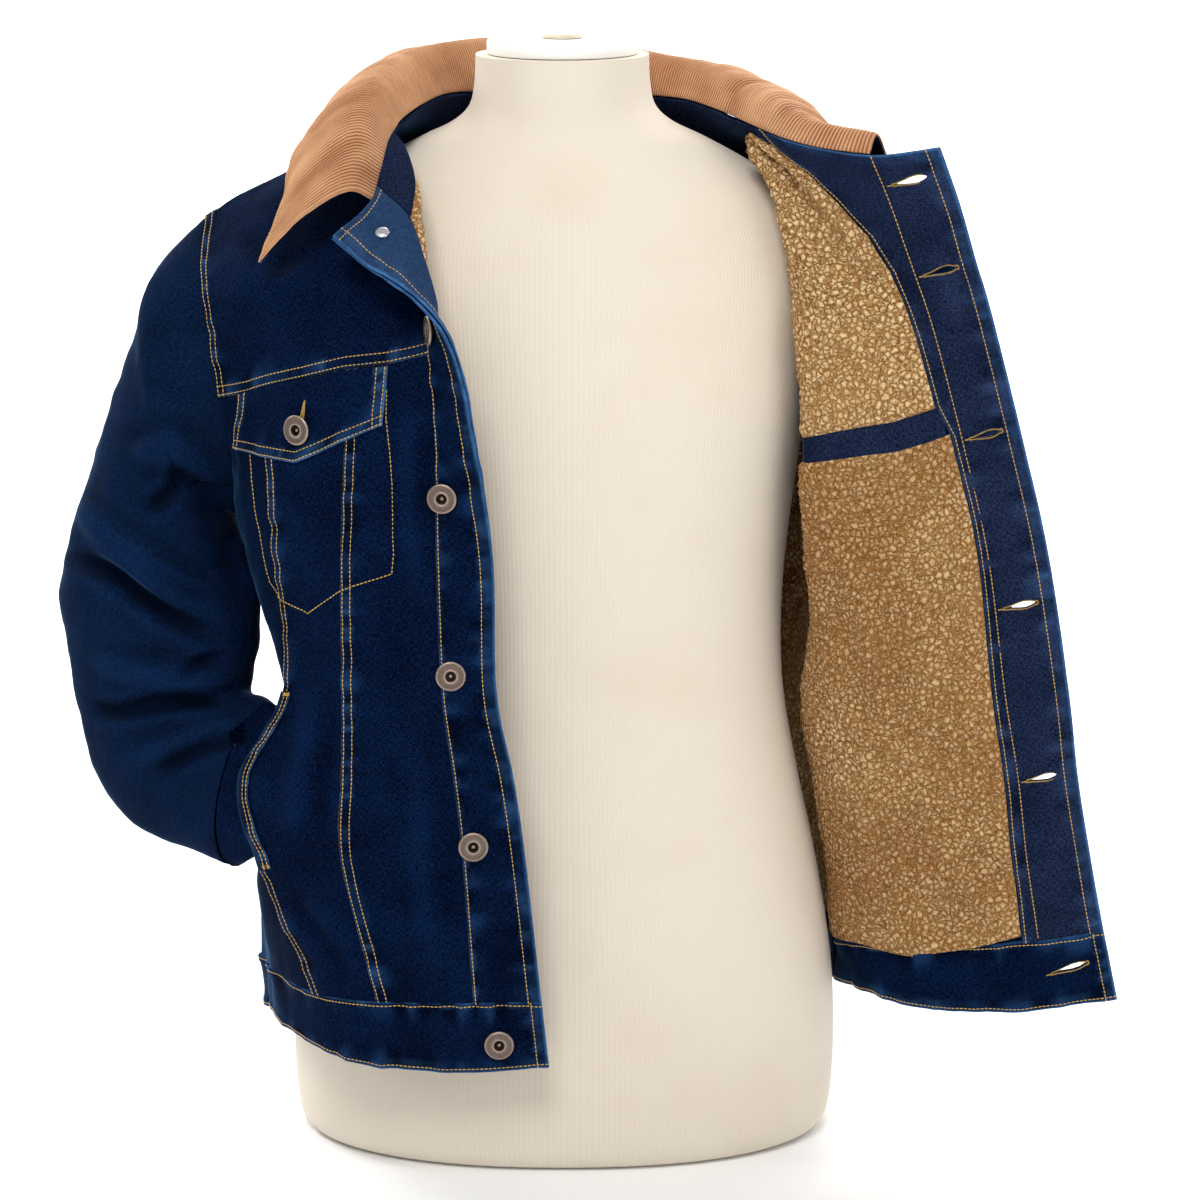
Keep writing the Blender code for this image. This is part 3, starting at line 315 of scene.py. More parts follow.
class Surface:
    """A smooth surface through rails of points, with the creases that lie in it."""

    def __init__(self, rails, outward, rail_corners=(), level_corners=None, closed=False, moves=None):
        self.rails = np.array(rails, float)
        self.outward = outward
        self.rail_corners = rail_corners
        self.level_corners = level_corners or {}
        self.closed = closed
        self.moves = moves or {}
        self.rail_count, self.level_count = self.rails.shape[:2]
        self.creases = []

    def point(self, u, v):
        """Points at rails u and levels v."""
        u, v = np.broadcast_arrays(np.asarray(u, float), np.asarray(v, float))
        u = u % self.rail_count if self.closed else u
        across = curve_shares(u, self.rail_count, self.rail_corners, self.closed)
        spots = np.einsum("pl,rlc->prc", curve_shares(v, self.level_count), self.rails)
        for rail, corner in self.level_corners.items():
            spots[:, rail] = curve_shares(v, self.level_count, (corner,)) @ self.rails[rail]
        found = np.einsum("pr,prc->pc", across, spots)
        for (rail, level), move in self.moves.items():
            share = soft_step(1 - abs(u.ravel() - rail)) * soft_step(1 - abs(v.ravel() - level))
            found += share[:, None] * np.array(move, float)
        return found.reshape(*u.shape, 3)

    def slopes(self, u, v, step=0.05):
        """How fast the surface runs along the rails' numbers and up the levels, per unit."""
        u, v = np.broadcast_arrays(np.asarray(u, float), np.asarray(v, float))
        low, high = (u - step, u + step) if self.closed else (np.maximum(u - step, 0),
                                                              np.minimum(u + step, self.rail_count - 1))
        foot, top = np.maximum(v - step, 0), np.minimum(v + step, self.level_count - 1)
        along = (self.point(high, v) - self.point(low, v)) / (high - low)[..., None]
        up = (self.point(u, top) - self.point(u, foot)) / (top - foot)[..., None]
        return along, up

    def out(self, u, v):
        """Unit directions out through the denim side."""
        along, up = self.slopes(u, v)
        across = np.cross(along, up)
        return across / np.maximum(np.linalg.norm(across, axis=-1, keepdims=True), 1e-9) * self.outward

    def place(self, u, v, distance=0.0):
        """Points at a distance out from the creased surface."""
        spots = self.point(u, v)
        height = distance + relief(spots, self.creases)
        return spots + self.out(u, v) * np.broadcast_to(height, spots.shape[:-1])[..., None]


# The share of a crease's line over which it fades out at each end.
CREASE_FADE = 0.3


def add_crease(surface, width, height, line):
    """A soft ridge, or with a height below 0 a trough, along a line of (rail, level) places."""
    marks = np.linspace(0, len(line) - 1, 12 * len(line))
    u, v = (curve_shares(marks, len(line)) @ np.array(line, float)).T
    t = marks / marks[-1]
    size = height * soft_step(t / CREASE_FADE) * soft_step((1 - t) / CREASE_FADE)
    surface.creases.append((surface.point(u, v), width, size))


# Soft unevenness all over the cloth: height, length of a wave and a seed.
RIPPLES = ((0.9, 62.0, 3), (0.45, 27.0, 4), (0.16, 9.0, 5))


def ripple(spots, period, seed):
    """Smooth random heights in space, about 1 at most."""
    rng = np.random.default_rng(seed)
    ways = rng.normal(size=(14, 3))
    ways *= 2 * pi / period * rng.uniform(0.7, 1.3, (14, 1)) / np.linalg.norm(ways, axis=1, keepdims=True)
    return np.sin(spots @ ways.T + rng.uniform(0, 2 * pi, 14)).sum(1) / 5


def relief(spots, creases):
    """How far ripples and creases lift each spot."""
    flat = spots.reshape(-1, 3)
    lift = sum(height * ripple(flat, period, seed) for height, period, seed in RIPPLES)
    for line, width, size in creases:
        reach = 3.2 * width
        inside = np.all((flat > line.min(0) - reach) & (flat < line.max(0) + reach), axis=1)
        chosen = np.nonzero(inside)[0]
        if not len(chosen):
            continue
        gaps = np.linalg.norm(flat[chosen, None] - line[None], axis=2)
        nearest = gaps.argmin(1)
        gap = gaps[np.arange(len(chosen)), nearest] / width
        lift[chosen] += size[nearest] * (np.exp(-gap ** 2) - 0.3 * np.exp(-((gap - 1.8) / 0.7) ** 2))
    return lift.reshape(spots.shape[:-1])


def table_rails(table):
    """A table of levels turned into rails, each with its levels in order."""
    return [[table[level][rail] for level in LEVELS] for rail in range(len(table[LEVELS[0]]))]


def rail_moves(tuck):
    """A tuck's moves by the numbers of their rail and level."""
    return {(RAILS.index(rail), LEVELS.index(level)): move for (rail, level), move in tuck.items()}


right = Surface(table_rails(RIGHT_FRONT), 1, (SEAM_1,), {SIDE: CHEST})
right_side = Surface(table_rails(RIGHT_FRONT), 1, (SEAM_1,), {SIDE: CHEST}, moves=rail_moves(RIGHT_TUCK))
left = Surface(table_rails(LEFT_FRONT), -1, (SEAM_1,), {SIDE: CHEST})
back = Surface(table_rails(BACK), -1, (SEAM_R, SEAM_L), {SIDE_R: CHEST, SIDE_L: CHEST})


def collar_surface():
    """The collar, standing on the neck seam of the fronts and the back."""
    seam = [right.point(PLACKET - k / 2, NECK) for k in range(4)]
    seam += [back.point(SEAM_R + k / 2, NECK) for k in range(2 * (SEAM_L - SEAM_R) + 1)]
    seam += [left.point(SEAM_1 + k / 2, NECK) for k in range(1, 5)]
    shares = curve_shares(np.arange(len(seam)) / 2, len(COLLAR))
    falls = [shares @ np.array([row[i] for row in COLLAR], float) for i in range(len(COLLAR[0]))]
    return Surface([seam, *falls], -1)


def arm_ring(front, front_rail, rear, rear_rail):
    """The armhole from the underarm up the front to the shoulder and down the back."""
    half = SLEEVE_SIDES // 2
    ring = []
    for k in range(SLEEVE_SIDES):
        level = CHEST + (NECK - CHEST) * (1 - abs(k - half) / half)
        surface, rail = (front, front_rail) if k <= half else (rear, rear_rail)
        ring.append(surface.point(rail, level))
    return np.array(ring)


def section_angles(share):
    """Angles round a section from the underarm by way of the front; share 1 faces the armhole's points."""
    half = SLEEVE_SIDES // 2
    rise = [radians(share * turn + (1 - share) * 180 * k / half) for k, turn in enumerate(ARMHOLE_ANGLES)]
    return np.array(rise + [2 * pi - angle for angle in reversed(rise[1:-1])])


def section_rings(sections):
    """Oval rings from rows of inner point, outer point and half depth."""
    middles = [(np.array(inner, float) + outer) / 2 for inner, outer, depth in sections]
    rings = []
    for k, (inner, outer, depth) in enumerate(sections):
        before, after = middles[max(k - 1, 0)], middles[min(k + 1, len(middles) - 1)]
        across = (np.array(inner, float) - outer) / 2
        front = np.cross(across, after - before)
        front *= (-1 if front[1] > 0 else 1) / np.linalg.norm(front)
        angles = section_angles(ARMHOLE_SHARES[k] if k < len(ARMHOLE_SHARES) else 0)[:, None]
        rings.append(middles[k] + across * np.cos(angles) + front * depth * np.sin(angles))
    return rings


def ring_starts(ring, section):
    """A sleeve's first ring, moved off the armhole square to it."""
    tangents = np.roll(ring, -1, axis=0) - np.roll(ring, 1, axis=0)
    tangents /= np.linalg.norm(tangents, axis=1, keepdims=True)
    ways = section - ring
    ways -= tangents * np.sum(ways * tangents, axis=1, keepdims=True)
    return ring + ways / np.linalg.norm(ways, axis=1, keepdims=True) * SLEEVE_START


def sleeve_surface(ring, sections, cuff_sections):
    """A sleeve and its cuff as one closed surface, from the armhole to the cuff's end."""
    lower = section_rings(sections + cuff_sections)
    rings = np.array([ring_starts(ring, lower[0]), *lower])
    surface = Surface(rings.transpose(1, 0, 2), 1, closed=True)
    middle = surface.rail_count / 2
    spot = surface.point(middle, 2.0)
    centre = rings[2].mean(0)
    if np.dot(surface.out(middle, 2.0), spot - centre) < 0:
        surface.outward = -1
    return surface


collar = collar_surface()
right_sleeve = sleeve_surface(arm_ring(right, SIDE, back, SIDE_R), RIGHT_SLEEVE, RIGHT_CUFF)
left_sleeve = sleeve_surface(arm_ring(left, SIDE, back, SIDE_L), LEFT_SLEEVE, LEFT_CUFF)

# Creases: the surface, how wide, how high (below 0 a trough), and the line as (rail, level) places.
CREASES = (
    # the bent right sleeve: each shadowed fold and the soft ridge above it
    (right_sleeve, 6, -8.5, ((5.1, 3.0), (4.1, 2.6), (2.2, 1.5), (0.3, 0.3))),
    (right_sleeve, 9, 6.8, ((6.0, 2.7), (4.6, 2.1), (2.6, 1.1), (0.6, 0.2))),
    (right_sleeve, 7, -10.2, ((9.4, 4.45), (7.0, 4.3), (5.5, 4.4), (3.9, 5.0), (2.0, 5.9))),
    (right_sleeve, 10, 7.6, ((9.6, 3.8), (7.0, 3.75), (5.2, 3.9), (3.5, 4.4), (1.6, 5.2))),
    (right_sleeve, 5, -5.1, ((5.0, 3.75), (3.6, 4.2), (2.2, 4.5))),
    (right_sleeve, 6, -9.3, ((7.6, 7.0), (6.2, 7.35), (3.9, 7.6), (2.4, 8.0), (0.7, 9.0))),
    (right_sleeve, 8, 6.8, ((7.4, 6.3), (5.6, 6.6), (3.8, 6.9), (2.2, 7.4), (0.8, 8.2))),
    (right_sleeve, 5, -5.1, ((3.9, 7.2), (3.0, 6.6), (1.8, 6.2))),
    (right_sleeve, 6, -6.8, ((6.0, 9.1), (4.2, 9.5), (3.0, 10.8), (2.3, 12.2))),
    (right_sleeve, 7, 5.1, ((6.4, 8.4), (4.4, 8.8), (3.1, 9.9), (2.4, 11.2))),
    (right_sleeve, 8, 4.4, ((12.0, 1.4), (10.8, 2.6), (10.4, 3.8))),
    (right_sleeve, 7, -5.8, ((14.5, 4.0), (13.0, 4.6), (11.4, 4.8), (10.2, 4.6))),
    (right_sleeve, 8, 5.1, ((15.5, 5.0), (13.5, 5.6), (11.5, 5.8))),
    (right_sleeve, 7, -5.8, ((16.5, 6.0), (14.6, 6.6), (12.4, 6.8))),
    (right_sleeve, 8, -5.1, ((18.5, 2.0), (17.2, 3.2), (16.4, 4.6))),
    (right_sleeve, 9, 5.1, ((17.6, 1.4), (16.2, 2.6), (15.2, 4.0))),
    (right_sleeve, 15, 9.0, ((19.2, 2.0), (19.3, 3.2), (19.7, 4.1), (20.6, 4.7))),
    # the hanging left sleeve
    (left_sleeve, 7, -6.1, ((4.5, 2.2), (3.0, 2.9), (1.0, 3.1))),
    (left_sleeve, 8, 5.1, ((5.5, 1.8), (3.6, 2.4), (1.2, 2.5))),
    (left_sleeve, 7, -5.4, ((8.0, 4.2), (6.0, 4.9), (3.8, 5.0))),
    (left_sleeve, 9, 4.8, ((9.0, 5.2), (7.0, 5.9), (4.8, 6.0))),
    (left_sleeve, 6, -5.1, ((11.5, 4.6), (13.6, 5.2), (15.8, 5.0))),
    (left_sleeve, 7, -5.8, ((16.0, 2.0), (17.6, 2.8), (19.4, 3.0))),
    (left_sleeve, 8, 4.4, ((10.5, 6.6), (12.8, 7.2), (15.0, 7.0))),
    (left_sleeve, 6, -4.4, ((5.0, 7.6), (7.2, 8.1), (9.6, 7.9))),
    # fronts
    (right, 9, -3.7, ((0.4, 6.2), (0.9, 5.4), (1.1, 4.7))),
    (right, 10, 3.4, ((1.3, 5.7), (1.5, 4.9), (1.7, 4.3))),
    (right, 8, 3.1, ((5.5, 6.6), (5.45, 5.9), (5.55, 5.2), (5.6, 4.6))),
    (right, 7, -2.7, ((5.75, 6.2), (5.7, 5.6), (5.8, 4.9))),
    (right, 10, 3.1, ((3.0, 4.2), (3.2, 3.2), (3.1, 2.2))),
    (right, 9, -2.7, ((3.5, 3.9), (3.6, 3.0), (3.45, 2.0))),
    (right, 8, -3.1, ((2.4, 1.9), (2.9, 1.5), (3.3, 1.1))),
    (right, 9, 2.9, ((5.2, 3.6), (5.4, 2.7), (5.3, 1.7), (5.45, 1.1))),
    (right, 8, -2.5, ((1.0, 8.9), (1.8, 8.3), (2.8, 8.0))),
    (left, 9, 3.7, ((4.6, 2.2), (5.3, 1.9), (5.9, 1.35))),
    (left, 8, -4.1, ((4.2, 2.0), (5.0, 1.6), (5.6, 1.1))),
    (left, 9, -3.1, ((3.0, 5.0), (3.4, 4.2), (3.3, 3.2))),
    (left, 10, 3.1, ((4.8, 5.4), (4.9, 4.4), (4.7, 3.4))),
    (left, 8, 2.7, ((6.3, 8.6), (6.5, 7.6), (6.4, 6.8))),
    (left, 8, -2.7, ((5.2, 8.6), (5.7, 7.8), (6.0, 6.9))),
    # back
    (back, 10, -4.4, ((1.1, 7.0), (1.6, 5.8), (2.3, 4.8), (3.1, 4.1))),
    (back, 12, 4.1, ((0.7, 6.2), (1.2, 5.0), (1.9, 4.0))),
    (back, 10, -4.1, ((6.9, 6.8), (6.4, 5.7), (5.6, 4.9), (4.9, 4.2))),
    (back, 12, 3.7, ((7.3, 6.1), (6.8, 5.1), (6.1, 4.1))),
    (back, 9, -3.4, ((3.0, 2.9), (4.1, 2.5), (5.2, 2.8))),
    (back, 10, 3.1, ((2.2, 2.2), (3.6, 1.8), (4.6, 2.0))),
    (back, 9, -3.1, ((6.8, 3.2), (6.2, 2.4), (6.4, 1.5))),
    (back, 9, 3.1, ((1.2, 3.3), (1.6, 2.4), (1.4, 1.5))),
    (back, 10, -3.1, ((3.2, 8.6), (3.9, 8.2), (4.8, 8.5))),
    # collar
    (collar, 6, -1.3, ((0.4, 1.6), (1.6, 1.3), (2.8, 1.0))),
    (collar, 7, 1.3, ((0.9, 2.3), (2.0, 2.2), (3.0, 1.9))),
    (collar, 6, -1.3, ((0.5, 3.3), (1.7, 3.4), (2.9, 3.6))),
    (collar, 8, 1.4, ((0.7, 5.0), (1.9, 5.2), (3.0, 5.1))),
    (collar, 7, -1.3, ((0.6, 7.4), (1.8, 7.2), (2.9, 7.5))),
    (collar, 7, 1.5, ((0.9, 10.2), (2.0, 10.4), (3.0, 10.3))),
    (collar, 5, -1.6, ((0.3, 11.2), (1.5, 11.3), (2.8, 11.1))),
    (collar, 5, 1.5, ((0.3, 12.0), (1.4, 12.1), (2.6, 11.9))),
    (collar, 5, -1.5, ((0.3, 12.9), (1.4, 13.0), (2.7, 12.8))),
)
for crease in CREASES:
    add_crease(*crease)


# Mesh lines beside a piece's border, as distances in from it: beside a topstitched seam, and elsewhere.
SEAM_LEAD = (0.25, 0.9, 1.7, 2.6, 4.6, 6.8, 7.7, 8.6, 9.6, 12.0)
PLAIN_LEAD = (0.25, 0.9, 2.2)
# A topstitched seam: how far the folded edge stands up and how far in its rows of stitches run.
SEAM_RISE = 0.7
STITCH_ROWS = (1.7, 7.7)
EDGE_ROW = (9.5,)


def lengths(spots, axis):
    """Distances run along a grid's rows (axis 1) or columns (axis 0)."""
    steps = np.linalg.norm(np.diff(spots, axis=axis), axis=2)
    first = np.zeros_like(np.take(steps, [0], axis=axis))
    return np.concatenate([first, np.cumsum(steps, axis=axis)], axis=axis)


def even_marks(whole, step, leads):
    """Distances from 0 to whole at about an even step, with the leads beside the two ends."""
    first, last = ([mark for mark in lead if mark < whole / 2 - step / 3] for lead in leads)
    start, end = first[-1], whole - last[-1]
    inner = np.linspace(start, end, max(round((end - start) / step), 1) + 1)
    return np.concatenate([first[:-1], inner, [whole - mark for mark in reversed(last[:-1])]])


def follow(line, place):
    """Where a border lies at a place: the border is a number, or a table of (place, position)."""
    if np.isscalar(line):
        return np.full(np.shape(place), float(line))
    return np.interp(place, *zip(*sorted(line)))


def with_marks(places, marks):
    """Places with marks added, and without the places that would lie too close to them."""
    if not len(marks):
        return places
    close = 0.45 * np.median(np.diff(places))
    kept = [place for place in places[1:-1] if min(abs(place - mark) for mark in marks) > close]
    return np.array(sorted([places[0], *kept, *marks, places[-1]]))


class Cloth:
    """A cut piece as a grid of places on a surface, with each one's distance from the piece's borders.

    step is the distance between mesh lines, or one across the piece and one up it.
    """

    def __init__(self, surface, rails, levels, step=3.0, leads=None, marks=((), ()), warp=None):
        leads = leads or {}
        wide, tall = step if isinstance(step, tuple) else (step, step)
        self.surface = surface
        self.closed = surface.closed and rails == (0, surface.rail_count)
        near, far = (leads.get(side, PLAIN_LEAD) for side in ("left", "right"))
        low, high = (leads.get(side, PLAIN_LEAD) for side in ("foot", "top"))
        middle = [np.mean([np.mean(np.array(line, float).reshape(-1, 2)[:, 1] if np.ndim(line) else line)
                           for line in pair]) for pair in (rails, levels)]
        start, end = (float(follow(line, middle[1])) for line in rails)
        foot, top = (float(follow(line, middle[0])) for line in levels)
        columns = self.spread(start, end, lambda u: surface.point(u, middle[1]), wide, (near, far))
        rows = self.spread(foot, top, lambda v: surface.point(middle[0], v), tall, (low, high))
        columns, rows = with_marks(columns, marks[0]), with_marks(rows, marks[1])
        s, t = np.meshgrid((columns - start) / (end - start), (rows - foot) / (top - foot))
        u = start + (end - start) * s
        foot_line, top_line = (follow(line, u) for line in levels)
        self.v = foot_line + (top_line - foot_line) * t
        left_line, right_line = (follow(line, self.v) for line in rails)
        self.u = left_line + (right_line - left_line) * s
        self.plain_v = self.v
        self.v = warp(self.u, self.v) if warp else self.v
        self.base = surface.point(self.u, self.v)
        self.out = surface.out(self.u, self.v)
        self.relief = relief(self.base, surface.creases)
        ring = np.concatenate([self.base, self.base[:, :1]], axis=1) if self.closed else self.base
        self.left = lengths(ring, 1)
        self.foot = lengths(self.base, 0)
        self.width, self.length = float(self.left[:, -1].max()), float(self.foot[-1].max())
        sides = ring[:-1, 1:] - ring[:-1, :-1], ring[1:, :-1] - ring[:-1, :-1]
        self.area = float(np.linalg.norm(np.cross(*sides), axis=2).sum())
        self.across = self.left
        self.right = self.left[:, -1:] - self.left
        if self.closed:
            self.left, self.right = self.left[:, :-1], self.right[:, :-1]
        self.top = self.foot[-1:] - self.foot

    def spread(self, start, end, line, step, leads):
        """Places from start to end, even in millimetres along a line on the surface."""
        fine = np.linspace(start, end, 160)
        run = lengths(line(fine)[None], 1)[0]
        if self.closed and start == 0 and end == self.surface.rail_count:
            return np.interp(np.linspace(0, run[-1], round(run[-1] / step) + 1)[:-1], run, fine)
        return np.interp(even_marks(run[-1], step, leads), run, fine)

    def gap(self, side):
        """Distances from one border."""
        return getattr(self, side)

    def along(self, side):
        """Distances run along one border."""
        return self.foot if side in ("left", "right") else self.left

    def tone(self):
        """Paler on the creases' ridges, above 0, partly worn and partly a painted highlight, and painted
        shade down in their troughs.
        """
        return np.clip(self.relief / 6, -1.3, 0.6)

    def edge_gap(self):
        """Distances from the nearest border."""
        ends = np.minimum(self.foot, self.top)
        return ends if self.closed else np.minimum(ends, np.minimum(self.left, self.right))


def waves(place, period, seed):
    """Smooth random heights between -1 and 1 along a line."""
    place = np.asarray(place) / period
    heights = np.random.default_rng(seed).uniform(-1, 1, int(np.max(place)) + 3)
    cell = np.floor(place).astype(int)
    return heights[cell] + (heights[cell + 1] - heights[cell]) * soft_step(place - cell)


def waves_2d(x, y, period, seed):
    """Smooth random heights between -1 and 1 over a plane."""
    x, y = (np.asarray(place) / period for place in (x, y))
    x, y = x - x.min(), y - y.min()
    heights = np.random.default_rng(seed).uniform(-1, 1, (int(y.max()) + 3, int(x.max()) + 3))
    i, j = np.floor(x).astype(int), np.floor(y).astype(int)
    s, t = soft_step(x - i), soft_step(y - j)
    low = heights[j, i] * (1 - s) + heights[j, i + 1] * s
    high = heights[j + 1, i] * (1 - s) + heights[j + 1, i + 1] * s
    return low * (1 - t) + high * t


def seam_relief(cloth, rows, seed=1, puckers=1.0):
    """The raised strip along stitched borders, dented by each row, and the puckers that the rows pull up."""
    lift, pulled = np.zeros_like(cloth.u), np.zeros_like(cloth.u)
    for number, (side, distances) in enumerate(rows.items()):
        gap, along = cloth.gap(side), cloth.along(side)
        width, middle = distances[-1] + 1.6, (distances[-1] + distances[0]) / 2
        strip = soft_step(gap / 0.9) * (1 - soft_step((gap - width) / 2.4))
        pull = 0.9 + 0.5 * waves(along, 40.0, seed * 3 + number)
        pull *= np.exp(-((gap - middle) / (8.5 + 3.5 * waves(along, 13.0, seed + number))) ** 2)
        pulled += puckers * pull * waves(along, 9.0, seed * 7 + number)
        dents = sum(np.exp(-((gap - row) / 0.8) ** 2) for row in distances)
        lift = np.maximum(lift, strip * SEAM_RISE) - 0.3 * dents * strip
    return lift + 1.2 * pulled, pulled


def seam_fade(cloth, rows, edges=(), seed=5):
    """How faded the denim is: bright along worn edges and paler in spots on stitched strips."""
    fade = np.zeros_like(cloth.u)
    for number, (side, distances) in enumerate(rows.items()):
        gap, along = cloth.gap(side), cloth.along(side)
        spots = 0.5 + 0.5 * waves(along, 4.0, seed * 5 + number)
        strip = 0.3 * spots ** 4 * (1 - soft_step((gap - distances[-1] - 0.5) / 2.0))
        fade = np.maximum(fade, np.maximum(strip, 0.5 * np.exp(-(gap / 1.1) ** 2) * (0.25 + 0.75 * spots)))
    for number, side in enumerate(edges):
        gap, along = cloth.gap(side), cloth.along(side)
        spots = 0.5 + 0.5 * waves(along, 8.0, seed * 9 + number)
        fade = np.maximum(fade, np.exp(-(gap / 1.5) ** 2) * (0.5 + 0.5 * spots))
        fade = np.maximum(fade, 0.2 * spots ** 2 * (1 - soft_step((gap - 6) / 5.0)))
    return fade


def edge_rounding(cloth, drop=0.55, reach=1.3):
    """How far a piece's face falls at its borders."""
    return -drop * (1 - soft_step(cloth.edge_gap() / reach))


def wall(piece_name, outer, inner, across, up, outward, holes=None, closed=False, marks=None):
    """A closed wall between two grids of points, as a mesh object with a UV map and float attributes."""
    rows, columns = outer.shape[:2]
    wide = columns + closed
    solid = np.ones((rows - 1, wide - 1), bool) if holes is None else ~holes
    r, c = np.nonzero(solid)
    inside = rows * wide

    def spot(row, column):
        return row * wide + column

    a, b, e, d = spot(r, c), spot(r, c + 1), spot(r + 1, c + 1), spot(r + 1, c)
    faces = [np.stack([a, b, e, d], 1), np.stack([d, e, b, a], 1) + inside]
    padded = np.pad(solid, 1)
    if closed:
        padded[1:-1, 0], padded[1:-1, -1] = solid[:, -1], solid[:, 0]
    for shift, first, second in (((0, -1), a, d), ((0, 1), e, b), ((-1, 0), b, a), ((1, 0), d, e)):
        bare = ~padded[r + 1 + shift[0], c + 1 + shift[1]]
        p, q = first[bare], second[bare]
        faces.append(np.stack([p, q, q + inside, p + inside], 1))
    faces = np.concatenate(faces)
    if outward < 0:
        faces = faces[:, ::-1]
    points = np.concatenate([outer.reshape(-1, 3), inner.reshape(-1, 3)]) * MM
    real = np.arange(2 * inside)
    side, rest = real // inside, real % inside
    owner = side * rows * columns + (rest // wide) * columns + (rest % wide) % columns
    corners = owner[faces]
    used, compact = np.unique(corners, return_inverse=True)
    values = {key: np.concatenate([value.ravel()] * 2)[used] for key, value in (marks or {}).items()}
    uv = np.stack([across.ravel(), up.ravel()], 1) * MM
    faces_used = compact.reshape(faces.shape)
    return mesh_piece(piece_name, points[used], faces_used, uv[faces.ravel() % inside], values)


def mesh_piece(piece_name, points, faces, uv=None, values=None):
    """A mesh object from numpy arrays of points and faces."""
    mesh = bpy.data.meshes.new(piece_name)
    sides = faces.shape[1]
    mesh.vertices.add(len(points))
    mesh.vertices.foreach_set("co", np.asarray(points, np.float32).ravel())
    mesh.loops.add(faces.size)
    mesh.loops.foreach_set("vertex_index", faces.astype(np.int32).ravel())
    mesh.polygons.add(len(faces))
    mesh.polygons.foreach_set("loop_start", np.arange(0, faces.size, sides, dtype=np.int32))
    mesh.update(calc_edges=True)
    if uv is not None:
        mesh.uv_layers.new(name="UVMap").data.foreach_set("uv", np.asarray(uv, np.float32).ravel())
    for key, value in (values or {}).items():
        mesh.attributes.new(key, "FLOAT", "POINT").data.foreach_set("value", np.asarray(value, np.float32))
    mesh.validate()
    mesh.shade_smooth()
    piece = bpy.data.objects.new(piece_name, mesh)
    bpy.context.collection.objects.link(piece)
    return piece


def cloth_wall(piece_name, cloth, layer, extra=0.0, inner_extra=0.0, holes=None, marks=None):
    """A wall of cloth between two distances from its surface, each with its own relief."""
    rise = (cloth.relief[..., None] * cloth.out) + cloth.base
    outer = rise + cloth.out * (layer[1] + extra * np.ones_like(cloth.u))[..., None]
    inner = rise + cloth.out * (layer[0] + inner_extra * np.ones_like(cloth.u))[..., None]
    up = np.concatenate([cloth.foot, cloth.foot[:, :1]], axis=1) if cloth.closed else cloth.foot
    return wall(piece_name, outer, inner, cloth.across, up, cloth.surface.outward, holes, cloth.closed, marks)


def finish_piece(piece, finish, nodes=(), cloth=None):
    """Give a piece its finish and its body and hide the nodes it stands for. The sizes worked out from its
    cloth are not used.
    """
    piece.data.materials.clear()
    piece.data.materials.append(material(finish))
    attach(piece, "root")
    if nodes:
        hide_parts(*nodes)
    if cloth:
        width, length, area = cloth.width * MM, cloth.length * MM, cloth.area * MM * MM
        width = max(width, area / length)


def node(tree, kind, inputs=None, **settings):
    """A new shader or geometry node with its settings and inputs; a socket given as an input is linked."""
    made = tree.nodes.new(kind)
    for key, value in settings.items():
        setattr(made, key, value)
    for key, value in (inputs or {}).items():
        socket = made.inputs[key]
        if isinstance(value, bpy.types.NodeSocket):
            tree.links.new(value, socket)
        else:
            socket.default_value = value
    return made


def new_group(group_name, inputs, outputs):
    """An empty shader node group with named float, vector or colour sockets, and its two end nodes."""
    tree = bpy.data.node_groups.new(group_name, "ShaderNodeTree")
    for socket_name, kind, default in inputs:
        socket = tree.interface.new_socket(socket_name, in_out="INPUT", socket_type=kind)
        if default is not None:
            socket.default_value = default
    for socket_name, kind in outputs:
        tree.interface.new_socket(socket_name, in_out="OUTPUT", socket_type=kind)
    return tree, tree.nodes.new("NodeGroupInput").outputs, tree.nodes.new("NodeGroupOutput").inputs


def calc(tree, operation, first, second=0.0):
    """A Math node's result."""
    return node(tree, "ShaderNodeMath", {0: first, 1: second}, operation=operation).outputs[0]


def total(tree, *values):
    """The sum of the values."""
    return reduce(lambda whole, value: calc(tree, "ADD", whole, value), values)


def times(tree, *values):
    """The product of the values."""
    return reduce(lambda whole, value: calc(tree, "MULTIPLY", whole, value), values)


def clamped(tree, value):
    """A value held between 0 and 1."""
    return node(tree, "ShaderNodeClamp", {0: value}).outputs[0]


def place_of(tree):
    """The place on the piece, in metres."""
    return node(tree, "ShaderNodeTexCoord").outputs["Object"]


def mark_of(tree, mark_name):
    """A value that the piece's mesh carries."""
    return node(tree, "ShaderNodeAttribute", attribute_name=mark_name).outputs["Fac"]


def noise(tree, place, scale, detail=2.0, roughness=0.5, output=0):
    """A noise texture's value, or with output 1 its colour."""
    return node(tree, "ShaderNodeTexNoise", {"Vector": place, "Scale": scale, "Detail": detail,
                                             "Roughness": roughness}).outputs[output]


def stretched(tree, place, scale):
    """Places scaled along each axis, so that a pattern on them is drawn out."""
    return node(tree, "ShaderNodeMapping", {"Vector": place, "Scale": scale}).outputs[0]


def shifted_by(tree, share, place, colour):
    """Places moved a little towards a noise's colour."""
    return node(tree, "ShaderNodeMix", {0: share, 4: place, 5: colour}, data_type="VECTOR").outputs[1]


def solid(colour):
    """A colour with its alpha, or a socket as it is."""
    return colour if isinstance(colour, bpy.types.NodeSocket) else (*colour, 1.0)


def blend(tree, share, first, second):
    """A mix of two colours."""
    inputs = {0: share, 6: solid(first), 7: solid(second)}
    return node(tree, "ShaderNodeMix", inputs, data_type="RGBA").outputs[2]


